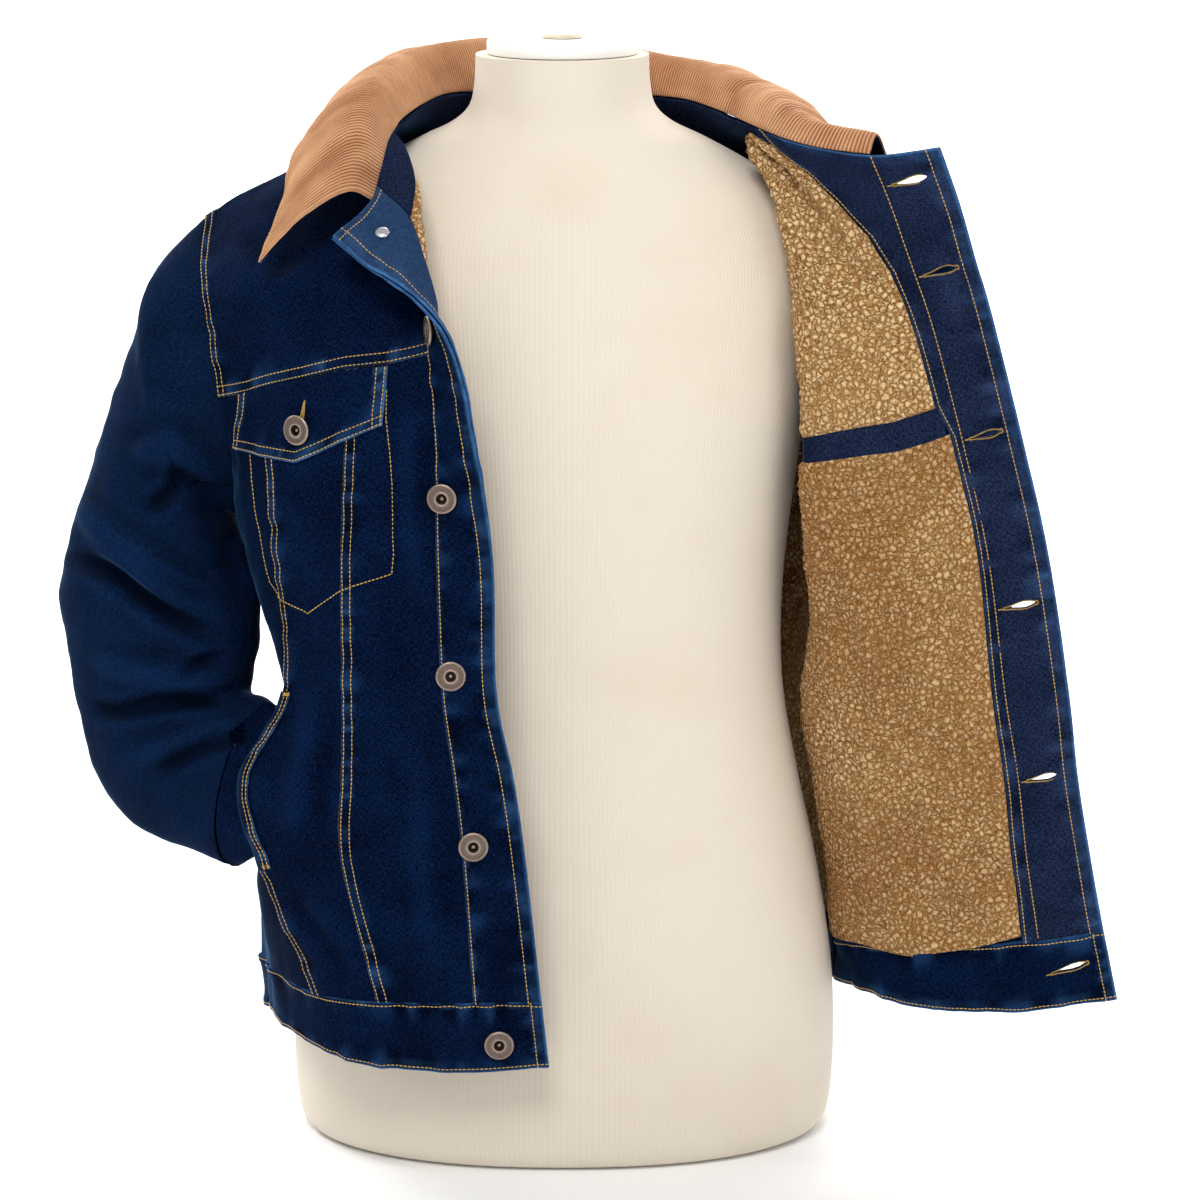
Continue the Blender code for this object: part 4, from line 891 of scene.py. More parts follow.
def twill_group():
    """Slanting twill lines, broken by slubs and yarn fuzz, from flat coordinates in metres."""
    tree, given, result = new_group(
        "denim twill",
        [("Coordinates", "NodeSocketVector", None), ("Spacing", "NodeSocketFloat", 0.001)],
        [("Grain", "NodeSocketFloat"), ("Height", "NodeSocketFloat")])
    flat = given["Coordinates"]
    x, y = node(tree, "ShaderNodeSeparateXYZ", {0: flat}).outputs[:2]
    slant = total(tree, times(tree, x, 0.86), times(tree, y, 0.5))
    turns = times(tree, calc(tree, "DIVIDE", slant, given["Spacing"]), 2 * pi)
    fuzz = noise(tree, flat, 1500.0)
    lines = calc(tree, "SINE", total(tree, turns, times(tree, fuzz, 7.0)))
    slubs = total(tree, *(noise(tree, stretched(tree, flat, scale), 1250.0)
                          for scale in ((1.5, 0.3, 1.0), (0.3, 1.5, 1.0))))
    grain = total(tree, times(tree, lines, 0.12), times(tree, slubs, 2.4), times(tree, fuzz, 1.8))
    tree.links.new(calc(tree, "SUBTRACT", grain, 2.88), result["Grain"])
    tree.links.new(total(tree, times(tree, lines, 0.3), fuzz), result["Height"])
    return tree


def wash_group():
    """Soft patches of more and less faded dye, from object coordinates in metres."""
    tree, given, result = new_group(
        "denim wash",
        [("Coordinates", "NodeSocketVector", None), ("Worn", "NodeSocketFloat", 0.0)],
        [("Patches", "NodeSocketFloat"), ("Faded", "NodeSocketFloat")])
    tree.links.new(noise(tree, given["Coordinates"], 17.0, 7.0, 0.68), result["Patches"])
    rough = total(tree, times(tree, noise(tree, given["Coordinates"], 260.0, 3.0), 1.3), 0.35)
    tree.links.new(clamped(tree, times(tree, rough, given["Worn"])), result["Faded"])
    return tree


def start_material(material_name, roughness, **sockets):
    """A material and its Principled shader, with plain values set on the shader's own sockets."""
    made = bpy.data.materials.new(f"{material_name} finish")
    made.use_nodes = True
    shader = made.node_tree.nodes["Principled BSDF"]
    shader.inputs["Roughness"].default_value = roughness
    for key, value in sockets.items():
        shader.inputs[key.replace("_", " ")].default_value = value
    return made, made.node_tree, shader


def add_bump(tree, shader, height, distance, strength=1.0):
    """A bump from a height in 0 to 1, as deep as distance in metres."""
    bump = node(tree, "ShaderNodeBump", {"Height": height, "Distance": distance, "Strength": strength})
    tree.links.new(bump.outputs[0], shader.inputs["Normal"])


def denim_material(material_name, dark, pale, looks):
    """Indigo twill: dark dye, paler yarn between the lines, worn spots where the mesh marks them, painted
    shade and a partly painted highlight along creases and puckers, and a painted rim light where the cloth
    turns away.
    """
    made, tree, shader = start_material(material_name, 0.85, Sheen_Weight=0.01, Sheen_Roughness=0.3,
                                        Sheen_Tint=(0.3, 0.6, 1.0, 1.0), Specular_IOR_Level=0.02)
    twill_tree = bpy.data.node_groups.get("denim twill") or twill_group()
    wash_tree = bpy.data.node_groups.get("denim wash") or wash_group()
    flat = node(tree, "ShaderNodeUVMap", uv_map="UVMap").outputs[0]
    worn = times(tree, mark_of(tree, "fade"), looks.seam_wear)
    twill = node(tree, "ShaderNodeGroup", node_tree=twill_tree)
    tree.links.new(flat, twill.inputs["Coordinates"])
    twill.inputs["Spacing"].default_value = looks.twill_spacing
    wash = node(tree, "ShaderNodeGroup", node_tree=wash_tree)
    tree.links.new(place_of(tree), wash.inputs["Coordinates"])
    tree.links.new(worn, wash.inputs["Worn"])
    # The tone mark adds painted shade down in the troughs of creases and puckers, and ridges paler partly
    # from wear and partly as a painted highlight.
    grain = total(tree, twill.outputs["Grain"], times(tree, wash.outputs["Patches"], 0.8),
                  times(tree, mark_of(tree, "tone"), 0.5))
    cloth = blend(tree, clamped(tree, calc(tree, "SUBTRACT", grain, 0.56)), dark, pale)
    # Painted rim light: a pale blue mixed in where the cloth turns away from the view.
    facing = node(tree, "ShaderNodeLayerWeight", {"Blend": 0.5}).outputs["Facing"]
    cloth = blend(tree, times(tree, calc(tree, "POWER", facing, 11.0), 0.4), cloth, looks.rim)
    tree.links.new(blend(tree, wash.outputs["Faded"], cloth, looks.faded), shader.inputs["Base Color"])
    add_bump(tree, shader, twill.outputs["Height"], 0.00022, 0.6)
    return made


def pile_material(looks):
    """Curly pile, with painted shade deep between its clumps that pales towards their tips."""
    made, tree, shader = start_material("pile", 0.95, Sheen_Weight=0.05, Sheen_Roughness=0.6,
                                        Specular_IOR_Level=0.05)
    place = place_of(tree)
    frayed = shifted_by(tree, 0.0012, place, noise(tree, place, 1100.0, 3.0, output=1))
    drift = shifted_by(tree, 0.0036, frayed, noise(tree, frayed, 380.0, 1.0, output=1))
    cells = node(tree, "ShaderNodeTexVoronoi", {"Vector": drift, "Scale": 1.0 / looks.curl},
                 feature="DISTANCE_TO_EDGE")
    gap = clamped(tree, times(tree, cells.outputs["Distance"], 2.6))
    curl = calc(tree, "SUBTRACT", 1.0, calc(tree, "POWER", calc(tree, "SUBTRACT", 1.0, gap), 2.0))
    rough = times(tree, calc(tree, "SUBTRACT", noise(tree, place, 1100.0, 3.0), 0.5), 0.9)
    # The ramp runs from painted shade deep between the clumps and curls up to their pale tips.
    share = total(tree, times(tree, mark_of(tree, "depth"), 0.4), times(tree, curl, 0.65), rough)
    ramp = node(tree, "ShaderNodeValToRGB", {0: share})
    stops = ((0.15, looks.crevice_shade_colour), (0.48, looks.middle_colour), (0.88, looks.tip_colour))
    while len(ramp.color_ramp.elements) < len(stops):
        ramp.color_ramp.elements.new(0.5)
    for element, (position, colour) in zip(ramp.color_ramp.elements, stops):
        element.position = position
        element.color = solid(colour)
    shade = times(tree, calc(tree, "SUBTRACT", noise(tree, place, 22.0), 0.35), 0.9)
    curly = blend(tree, shade, ramp.outputs[0], looks.middle_colour)
    # Painted shade: the pile is darkened towards its crevice colour where the mesh marks it.
    colour = blend(tree, mark_of(tree, "dim"), curly, looks.crevice_shade_colour)
    tree.links.new(colour, shader.inputs["Base Color"])
    add_bump(tree, shader, total(tree, curl, times(tree, rough, 0.5)), 0.0024)
    return made


def corduroy_material(looks):
    """Brown corduroy, with painted shade in the grooves between its wales, rubbed pale on their tops, and
    paler on crease ridges, partly wear and partly a painted highlight.
    """
    made, tree, shader = start_material("corduroy", 0.9, Sheen_Weight=0.35, Sheen_Roughness=0.4,
                                        Sheen_Tint=(1.0, 0.85, 0.7, 1.0), Specular_IOR_Level=0.2)
    place = place_of(tree)
    height = mark_of(tree, "depth")
    fuzz = noise(tree, place, 1400.0)
    share = total(tree, height, calc(tree, "SUBTRACT", fuzz, 0.5))
    # Painted shade in the grooves: the colour follows the wale height down to the groove colour.
    cloth = blend(tree, clamped(tree, share), looks.groove_shade_colour, looks.wale_colour)
    # The tone mark rubs the crease ridges paler, partly wear and partly a painted highlight.
    rubbed = total(tree, times(tree, height, noise(tree, place, 35.0, 3.0), 0.8),
                   times(tree, mark_of(tree, "tone"), 0.9))
    colour = blend(tree, clamped(tree, rubbed), cloth, looks.rubbed_colour)
    tree.links.new(colour, shader.inputs["Base Color"])
    add_bump(tree, shader, fuzz, 0.0003, 0.5)
    return made


def jersey_material(looks):
    """Cream jersey with fine upright ribs and a few faint marks."""
    made, tree, shader = start_material("jersey", 0.85, Sheen_Weight=0.2, Sheen_Roughness=0.5,
                                        Specular_IOR_Level=0.2)
    flat = node(tree, "ShaderNodeUVMap", uv_map="UVMap").outputs[0]
    place = place_of(tree)
    around = node(tree, "ShaderNodeSeparateXYZ", {0: flat}).outputs[0]
    ribs = calc(tree, "SINE", times(tree, around, 2 * pi / looks.rib_spacing))
    knit = noise(tree, place, 900.0)
    shade = total(tree, times(tree, ribs, 0.16), times(tree, knit, 0.5))
    cloth = blend(tree, clamped(tree, shade), looks.jersey_colour, looks.rib_colour)
    marks = calc(tree, "SUBTRACT", noise(tree, place, 9.0, 5.0), 0.5)
    soiled = clamped(tree, times(tree, marks, 0.8))
    tree.links.new(blend(tree, soiled, cloth, looks.mark_colour), shader.inputs["Base Color"])
    add_bump(tree, shader, total(tree, ribs, knit), 0.00012, 0.3)
    return made


def thread_material(looks):
    """Golden ochre topstitching thread, each stitch a little lighter or darker."""
    made, tree, shader = start_material("topstitch thread", 0.55, Sheen_Weight=0.1)
    tone = noise(tree, place_of(tree), 160.0)
    tree.links.new(blend(tree, tone, looks.thread_dark, looks.thread_bright), shader.inputs["Base Color"])
    return made


def worn_metal_material(material_name, bright, dull, roughness, marked=False):
    """Plated metal with a mottled, rubbed surface; where marked, nearly black where the mesh's worn values
    are low, which on the buttons is painted shade in the hole and under the button.
    """
    made, tree, shader = start_material(material_name, roughness, Metallic=1.0)
    spots = noise(tree, place_of(tree), 700.0, 4.0)
    plate = blend(tree, spots, dull, bright)
    if marked:
        # Painted shade: low worn values take the metal down to nearly black, in a button's hole and under it.
        plate = blend(tree, mark_of(tree, "worn"), [0.12 * part for part in dull], plate)
    tree.links.new(plate, shader.inputs["Base Color"])
    tree.links.new(total(tree, times(tree, spots, 0.3), roughness - 0.15), shader.inputs["Roughness"])
    add_bump(tree, shader, spots, 0.0002, 0.4)
    return made


def plain_material(material_name, light, darkness, roughness, scale, stretch=(1.0, 1.0, 1.0)):
    """A light material with soft streaks or mottling, down to a share of its colour."""
    made, tree, shader = start_material(material_name, roughness)
    streaks = noise(tree, stretched(tree, place_of(tree), stretch), scale, 4.0)
    dark = [darkness * part for part in light]
    tree.links.new(blend(tree, streaks, dark, light), shader.inputs["Base Color"])
    add_bump(tree, shader, streaks, 0.0002, 0.2)
    return made


def clump_heights(x, y, size, seed):
    """Rounded clumps with deep folds between them, from 0 to 1, over a plane in millimetres."""
    x = x + size * 0.5 * waves_2d(x, y, size * 1.9, seed + 1)
    y = y + size * 0.5 * waves_2d(x, y, size * 1.9, seed + 2)
    x, y = x - x.min() + size, y - y.min() + size
    i, j = np.floor(x / size).astype(int), np.floor(y / size).astype(int)
    rng = np.random.default_rng(seed)
    jitter = rng.uniform(0.1, 0.9, (2, j.max() + 3, i.max() + 3))
    lift = rng.uniform(0.65, 1.0, jitter.shape[1:])
    first, second, height = np.full_like(x, 99.0), np.full_like(x, 99.0), np.zeros_like(x)
    for shift_j in (-1, 0, 1):
        for shift_i in (-1, 0, 1):
            p, q = np.maximum(i + shift_i, 0), np.maximum(j + shift_j, 0)
            gap = np.hypot((p + jitter[0, q, p]) * size - x, (q + jitter[1, q, p]) * size - y)
            height = np.where(gap < first, lift[q, p], height)
            second = np.minimum(second, np.maximum(gap, first))
            first = np.minimum(first, gap)
    dome = np.sqrt(np.clip(1 - (first / (1.05 * size)) ** 2, 0, 1))
    return height * dome * soft_step((second - first) / (0.42 * size) + 0.12)


def lofted(piece_name, rings):
    """A closed solid through rings of points in millimetres, its ends fans. Its UV map runs round and up."""
    rings = np.array(rings, float)
    count, sides = rings.shape[:2]
    points = np.concatenate([rings.reshape(-1, 3), rings[[0, -1]].mean(1)])
    r, c = (grid.ravel() for grid in np.meshgrid(np.arange(count - 1), np.arange(sides), indexing="ij"))
    n = (c + 1) % sides
    a, b, e, d = r * sides + c, r * sides + n, (r + 1) * sides + n, (r + 1) * sides + c
    k = np.arange(sides)
    low, high = np.full(sides, count * sides), np.full(sides, count * sides + 1)
    last = (count - 1) * sides
    faces = np.concatenate([np.stack([a, b, e], 1), np.stack([a, e, d], 1),
                            np.stack([(k + 1) % sides, k, low], 1),
                            np.stack([last + k, last + (k + 1) % sides, high], 1)])
    girth = np.linalg.norm(np.roll(rings, -1, 1) - rings, axis=2).sum(1).mean()
    rise = lengths(rings.mean(1)[:, None] + np.zeros((1, 1, 3)), 0)[:, 0]
    across = np.concatenate([c, c + 1, c + 1, c, c + 1, c]).reshape(2, 3, -1)
    height = np.stack([rise[r], rise[r], rise[r + 1], rise[r], rise[r + 1], rise[r + 1]]).reshape(2, 3, -1)
    uv = np.concatenate([np.stack([across[i].T / sides * girth, height[i].T], 2) for i in (0, 1)])
    fan = np.zeros((2 * sides, 3, 2))
    uv = np.concatenate([uv, fan]) * MM
    return mesh_piece(piece_name, points * MM, faces, uv.reshape(-1, 2))


def turned(piece_name, profile, sides, seat, axis, worn=()):
    """A solid turned about an axis from (radius, height) pairs, standing on its seat, in millimetres.

    worn gives how bright each pair's metal is; low values paint shade, as in a button's hole.
    """
    axis = np.array(axis, float) / np.linalg.norm(axis)
    side = np.cross(axis, (0.0, 0.0, 1.0) if abs(axis[2]) < 0.9 else (1.0, 0.0, 0.0))
    side /= np.linalg.norm(side)
    turn = 2 * pi * np.arange(sides) / sides
    wheel = np.outer(np.cos(turn), side) + np.outer(np.sin(turn), np.cross(axis, side))
    rings = [np.array(seat) + wheel * radius + axis * height for radius, height in profile]
    piece = lofted(piece_name, rings)
    piece.data.set_sharp_from_angle(angle=radians(40))
    if worn:
        shade = np.concatenate([np.repeat(worn, sides), [worn[0], worn[-1]]])
        mark = piece.data.attributes.new("worn", "FLOAT", "POINT")
        mark.data.foreach_set("value", shade.astype(np.float32))
    return piece


# Topstitch rows that each group of pieces carries: points, the thread's way and the cloth's outward way.
ROWS = {}


def sew(group, spots, outs):
    """Add a row of even stitches along points in millimetres to a group of rows."""
    run = lengths(spots[None], 1)[0]
    count = max(round(run[-1] / (settings().thread.pitch / MM)), 1)
    middles = (np.arange(count) + 0.5) * run[-1] / count
    place, ahead, behind, out = (np.stack([np.interp(marks, run, rows[:, k]) for k in range(3)], 1)
                                 for marks, rows in ((middles, spots), (middles + 0.3, spots),
                                                     (middles - 0.3, spots), (middles, outs)))
    out /= np.linalg.norm(out, axis=1, keepdims=True)
    along = ahead - behind
    along /= np.maximum(np.linalg.norm(along, axis=1, keepdims=True), 1e-9)
    ROWS.setdefault(group, []).append((place, along, out))


def sew_beside(group, cloth, side, distance, layer, lifts, face=1):
    """A row of stitches at a distance in from one border of a cloth, on the face that shows."""
    gap = cloth.gap(side)
    lines = range(gap.shape[0]) if side in ("left", "right") else range(gap.shape[1])
    spots, outs = [], []
    skin = cloth.base + cloth.out * (layer + cloth.relief + lifts)[..., None]
    for line in lines:
        pick = (line, slice(None)) if side in ("left", "right") else (slice(None), line)
        gaps = gap[pick]
        order = np.argsort(gaps)
        spots.append([np.interp(distance, gaps[order], skin[pick][order, k]) for k in range(3)])
        outs.append([np.interp(distance, gaps[order], cloth.out[pick][order, k]) for k in range(3)])
    sew(group, np.array(spots), np.array(outs) * face)


def sew_line(group, surface, line, distance):
    """A row of stitches along (rail, level) places joined by straight stretches."""
    marks = np.linspace(0, len(line) - 1, 24 * len(line))
    u, v = (np.interp(marks, np.arange(len(line)), column) for column in zip(*line))
    sew(group, surface.place(u, v, distance), surface.out(u, v) * (1 if distance > 0 else -1))


def stitch_tree():
    """Geometry nodes that put one rounded stitch on each point of a row."""
    tree = bpy.data.node_groups.new("Stitches", "GeometryNodeTree")
    face = tree.interface
    face.new_socket("Geometry", in_out="INPUT", socket_type="NodeSocketGeometry")
    for socket_name in ("Length", "Width", "Height"):
        face.new_socket(socket_name, in_out="INPUT", socket_type="NodeSocketFloat")
    face.new_socket("Thread", in_out="INPUT", socket_type="NodeSocketMaterial")
    face.new_socket("Geometry", in_out="OUTPUT", socket_type="NodeSocketGeometry")
    given, result = tree.nodes.new("NodeGroupInput").outputs, tree.nodes.new("NodeGroupOutput").inputs
    along = node(tree, "GeometryNodeInputNamedAttribute", {"Name": "along"}, data_type="FLOAT_VECTOR")
    out = node(tree, "GeometryNodeInputNamedAttribute", {"Name": "out"}, data_type="FLOAT_VECTOR")
    turn = node(tree, "FunctionNodeAxesToRotation",
                {"Primary Axis": along.outputs[0], "Secondary Axis": out.outputs[0]},
                primary_axis="X", secondary_axis="Z")
    size = node(tree, "ShaderNodeCombineXYZ", {0: given["Length"], 1: given["Width"], 2: given["Height"]})
    bead = node(tree, "GeometryNodeMeshUVSphere", {"Segments": 5, "Rings": 3, "Radius": 0.5})
    turned_bead = node(tree, "GeometryNodeTransform",
                       {"Geometry": bead.outputs[0], "Rotation": (0, pi / 2, 0)})
    laid = node(tree, "GeometryNodeInstanceOnPoints",
                {"Points": given["Geometry"], "Instance": turned_bead.outputs[0], "Rotation": turn.outputs[0],
                 "Scale": size.outputs[0]})
    real = node(tree, "GeometryNodeRealizeInstances", {0: laid.outputs[0]})
    dyed = node(tree, "GeometryNodeSetMaterial", {"Geometry": real.outputs[0], "Material": given["Thread"]})
    tree.links.new(dyed.outputs[0], result["Geometry"])
    return tree


def stitched(piece_name, rows, tree, size):
    """A mesh of real stitches of one size on every point of the rows, as a finished piece."""
    place, along, out = (np.concatenate(parts) for parts in zip(*rows))
    mesh = bpy.data.meshes.new(piece_name)
    mesh.vertices.add(len(place))
    mesh.vertices.foreach_set("co", (place * MM).astype(np.float32).ravel())
    for key, value in (("along", along), ("out", out)):
        mark = mesh.attributes.new(key, "FLOAT_VECTOR", "POINT")
        mark.data.foreach_set("vector", value.astype(np.float32).ravel())
    piece = bpy.data.objects.new(piece_name, mesh)
    bpy.context.collection.objects.link(piece)
    modifier = piece.modifiers.new("Stitches", "NODES")
    modifier.node_group = tree
    sockets = {item.name: item.identifier for item in tree.interface.items_tree if item.in_out == "INPUT"}
    for key, value in zip(("Length", "Width", "Height"), size):
        modifier[sockets[key]] = value * MM
    modifier[sockets["Thread"]] = material("thread")
    seen = piece.evaluated_get(bpy.context.evaluated_depsgraph_get())
    real = bpy.data.meshes.new_from_object(seen)
    piece.modifiers.clear()
    piece.data = real
    real.shade_smooth()
    finish_piece(piece, "thread")


def colour_prop(prop_name, description, default):
    """A linear colour that a user may change."""
    return FloatVectorProperty(name=prop_name, description=description, default=default, size=3, min=0.0,
                               max=1.0, subtype="COLOR")


def length_prop(prop_name, description, default):
    """A length in metres that a user may change."""
    return FloatProperty(name=prop_name, description=description, default=default, min=0.0, unit="LENGTH")


class JacketDenim(PropertyGroup):
    """Sizes and colours of the denim."""

    dark: colour_prop("Dark dye", "Colour of the least faded denim", (0.0002, 0.0011, 0.0068))
    pale: colour_prop("Pale dye", "Colour of the denim's paler yarns", (0.0034, 0.0175, 0.069))
    faded: colour_prop("Faded", "Colour of the denim on worn edges", (0.05, 0.15, 0.35))
    # Painted rim light, mixed into the denim where it turns away from the view.
    rim: colour_prop("Rim", "Colour of the fuzz where the cloth turns away", (0.10, 0.30, 0.62))
    # The facings' colours are brighter than the outer denim's: painted light that lifts the facings where
    # they lie in shade.
    lit_facing_dark: colour_prop("Facing dark", "Colour of the facings' darkest denim", (0.0028, 0.0052, 0.018))
    lit_facing_pale: colour_prop("Facing pale", "Colour of the facings' paler yarns", (0.025, 0.040, 0.098))
    twill_spacing: length_prop("Twill spacing", "Distance between the slanting lines of the weave", 0.0011)
    seam_wear: FloatProperty(name="Seam wear", description="How faded the seams and edges are", default=1.0,
                             min=0.0, max=2.0, subtype="FACTOR")
    grid: length_prop("Grid", "Distance between the mesh lines of the cloth", 0.0032)


class JacketPile(PropertyGroup):
    """Sizes and colours of the pile lining."""

    # Painted shade deep between the clumps; the same colour paints shade over the marked parts of the lining.
    crevice_shade_colour: colour_prop("Root", "Colour deep between the clumps", (0.31, 0.108, 0.014))
    middle_colour: colour_prop("Middle", "Colour of the sides of the clumps", (0.665, 0.368, 0.128))
    tip_colour: colour_prop("Tip", "Colour of the clumps' tips", (0.90, 0.66, 0.385))
    clump: length_prop("Clump", "Width of a clump of curls", 0.0062)
    curl: length_prop("Curl", "Width of one curl", 0.0043)
    depth: length_prop("Depth", "Height of the clumps", 0.0022)
    grid: length_prop("Grid", "Distance between the mesh lines of the pile that shows", 0.00175)


class JacketCord(PropertyGroup):
    """Sizes and colours of the corduroy."""

    spacing: length_prop("Wale spacing", "Distance from one wale to the next", 0.0026)
    height: length_prop("Wale height", "Height of the wales", 0.0007)
    # Painted shade in the grooves between the wales.
    groove_shade_colour: colour_prop("Groove", "Colour between the wales", (0.17, 0.06, 0.023))
    wale_colour: colour_prop("Wale", "Colour of the wales", (0.50, 0.230, 0.107))
    rubbed_colour: colour_prop("Rubbed", "Colour of the wales where they are rubbed", (0.80, 0.47, 0.26))


class JacketThread(PropertyGroup):
    """Sizes and colours of the topstitching."""

    pitch: length_prop("Pitch", "Distance from one stitch to the next", 0.0031)
    stitch: length_prop("Stitch", "Length of one stitch", 0.0028)
    width: length_prop("Width", "Thickness of the thread", 0.00098)
    thread_bright: colour_prop("Bright", "Colour of the brighter stitches", (0.70, 0.44, 0.085))
    thread_dark: colour_prop("Dark", "Colour of the darker stitches", (0.38, 0.21, 0.035))


class JacketMetal(PropertyGroup):
    """Colours of the buttons and the rivet."""

    copper: colour_prop("Copper", "Colour of the buttons' rubbed metal", (0.58, 0.455, 0.38))
    copper_dull: colour_prop("Dull copper", "Colour of the buttons' dull metal", (0.24, 0.175, 0.14))
    silver: colour_prop("Rivet", "Colour of the rivet", (0.80, 0.81, 0.83))


class JacketForm(PropertyGroup):
    """Sizes and colours of the dress form."""

    jersey_colour: colour_prop("Jersey", "Colour of the form's cover", (0.72, 0.64, 0.53))
    rib_colour: colour_prop("Ribs", "Colour of the cover's raised ribs", (0.77, 0.695, 0.59))
    mark_colour: colour_prop("Marks", "Colour of the cover's faint marks", (0.55, 0.42, 0.30))
    plate_colour: colour_prop("Neck plate", "Colour of the plate on the neck", (0.90, 0.89, 0.86))
    wood_colour: colour_prop("Knob", "Colour of the wooden knob", (0.84, 0.76, 0.57))
    rib_spacing: length_prop("Rib spacing", "Distance from one rib of the cover to the next", 0.0023)


class JacketStage(PropertyGroup):
    """Light and floor."""

    floor_colour: colour_prop("Floor", "Colour of the floor and the backdrop", (0.93, 0.93, 0.93))
    key_power: FloatProperty(name="Key light", description="Power of the main light", default=58.0, min=0.0,
                             unit="POWER")
    rim_power: FloatProperty(name="Rim lights", description="Power of the lights behind each shoulder",
                             default=36.0, min=0.0, unit="POWER")
    world: FloatProperty(name="World", description="Strength of the light from all round", default=0.5,
                         min=0.0)


class JacketSettings(PropertyGroup):
    """Everything that a user may change."""

    denim: PointerProperty(type=JacketDenim)
    pile: PointerProperty(type=JacketPile)
    cord: PointerProperty(type=JacketCord)
    thread: PointerProperty(type=JacketThread)
    metal: PointerProperty(type=JacketMetal)
    form: PointerProperty(type=JacketForm)
    stage: PointerProperty(type=JacketStage)


def make_material(finish, looks):
    """Build one finish from the settings."""
    metal, form = looks.metal, looks.form
    makers = {
        "denim": lambda: denim_material(finish, looks.denim.dark, looks.denim.pale, looks.denim),
        # The facing denim is a brighter copy of the denim: painted light.
        "facing denim": lambda: denim_material(finish, looks.denim.lit_facing_dark, looks.denim.lit_facing_pale,
                                               looks.denim),
        "pile": lambda: pile_material(looks.pile),
        "corduroy": lambda: corduroy_material(looks.cord),
        "jersey": lambda: jersey_material(form),
        "thread": lambda: thread_material(looks.thread),
        "copper": lambda: worn_metal_material(finish, metal.copper, metal.copper_dull, 0.5, True),
        "silver": lambda: worn_metal_material(finish, metal.silver, [0.6 * part for part in metal.silver],
                                              0.28),
        "neck plate": lambda: plain_material(finish, form.plate_colour, 0.97, 0.6, 60.0),
        "knob wood": lambda: plain_material(finish, form.wood_colour, 0.6, 0.5, 90.0, (1.0, 0.08, 1.0)),
        "floor": lambda: plain_material(finish, looks.stage.floor_colour, 1.0, 0.9, 1.0),
    }
    return makers[finish]()


FINISHES = {}


def material(finish):
    """A finish, built when it is first asked for."""
    if finish not in FINISHES:
        FINISHES[finish] = make_material(finish, settings())
    return FINISHES[finish]


def settings():
    """The scene's settings."""
    return bpy.context.scene.jacket


# The lower edge of the yokes, just below the surfaces' own yoke level.
FRONT_YOKE = ((0, 6.93), (5, 6.9), (7, 7.0))
BACK_YOKE = 6.94
# Waistbands reach this far up over the panels' lower edges.
WAIST_TOP = HEM + 0.03
FACING_RAIL = 5.75
# Where the left front's facing meets its pile, as (level, rail).
LEFT_FACING = ((1.0, 5.75), (2.43, 5.75), (3.53, 5.77), (4.42, 5.8), (5.38, 5.84), (6.1, 5.82), (6.35, 5.64),
               (7.05, 5.6), (7.93, 5.67), (8.5, 5.51), (8.9, 5.25), (9.47, 4.9), (9.73, 4.38), (10.0, 4.12))
LINING_FOOT = HEM + 0.05
# Rows of stitches beside the long borders of a waistband.
BAND_ROWS = {"foot": (3.0,), "top": (3.0,)}
# Distances between the mesh lines of the back, of hidden pieces and of small ones.
CURVED_STEP = 5.0
HIDDEN_STEP = 6.0
SMALL_STEP = 2.6
# A panel's mesh lines are this many times wider apart across it than up it.
GRID_STRETCH = 1.6


def panel(piece_name, surface, rails, levels, layer=DENIM, finish="denim", rows=None, edges=(),
          group=None, face=1, step=None, seed=1, marks=((), ()), slits=(), warp=None, worn=0.0, puckers=1.0,
          is_node=True):
    """A cut piece of denim with its topstitched borders.

    rows are the rows of stitches beside each border, in millimetres from it, and edges are borders that are
    worn without stitches. face is 1 where the outer side shows and -1 where the inner one does. slits are cut
    through, with mesh lines at the marks, and warp moves the levels.
    """
    rows = rows or {}
    leads = {side: SEAM_LEAD for side in (*rows, *edges)}
    grid = settings().denim.grid / MM
    cloth = Cloth(surface, rails, levels, step or (GRID_STRETCH * grid, grid), leads, marks, warp)
    lifts, pulled = seam_relief(cloth, rows, seed, puckers)
    rounding = edge_rounding(cloth)
    outer = rounding + (lifts if face > 0 else 0)
    inner = -rounding - (lifts if face < 0 else 0)
    # Pucker tops fade a little paler, partly wear and partly a painted highlight. The tone mark adds painted
    # shade in the troughs of creases and puckers and a partly painted highlight on their ridges.
    fade = np.maximum(seam_fade(cloth, rows, edges, seed), worn + 0.1 * np.clip(pulled - 0.1, 0, 1))
    values = {"fade": fade, "tone": cloth.tone() + 0.9 * pulled}
    piece = cloth_wall(f"{piece_name}_cloth", cloth, layer, outer, inner, slit_cells(cloth, slits), values)
    piece.data.set_sharp_from_angle(angle=radians(60))
    finish_piece(piece, finish, [piece_name] if is_node else [], cloth)
    level, lift = (layer[1], outer) if face > 0 else (layer[0], inner)
    for side, distances in rows.items():
        for distance in distances:
            sew_beside(group, cloth, side, distance, level, lift, face)


def slit_cells(cloth, slits):
    """The grid's cells that lie in slits, each given as two rails and two levels."""
    if not slits:
        return None
    u = (cloth.u[:-1, :-1] + cloth.u[1:, 1:]) / 2
    v = (cloth.plain_v[:-1, :-1] + cloth.plain_v[1:, 1:]) / 2
    holes = np.zeros(u.shape, bool)
    for first, last, low, high in slits:
        holes |= (u > first) & (u < last) & (v > low) & (v < high)
    return holes


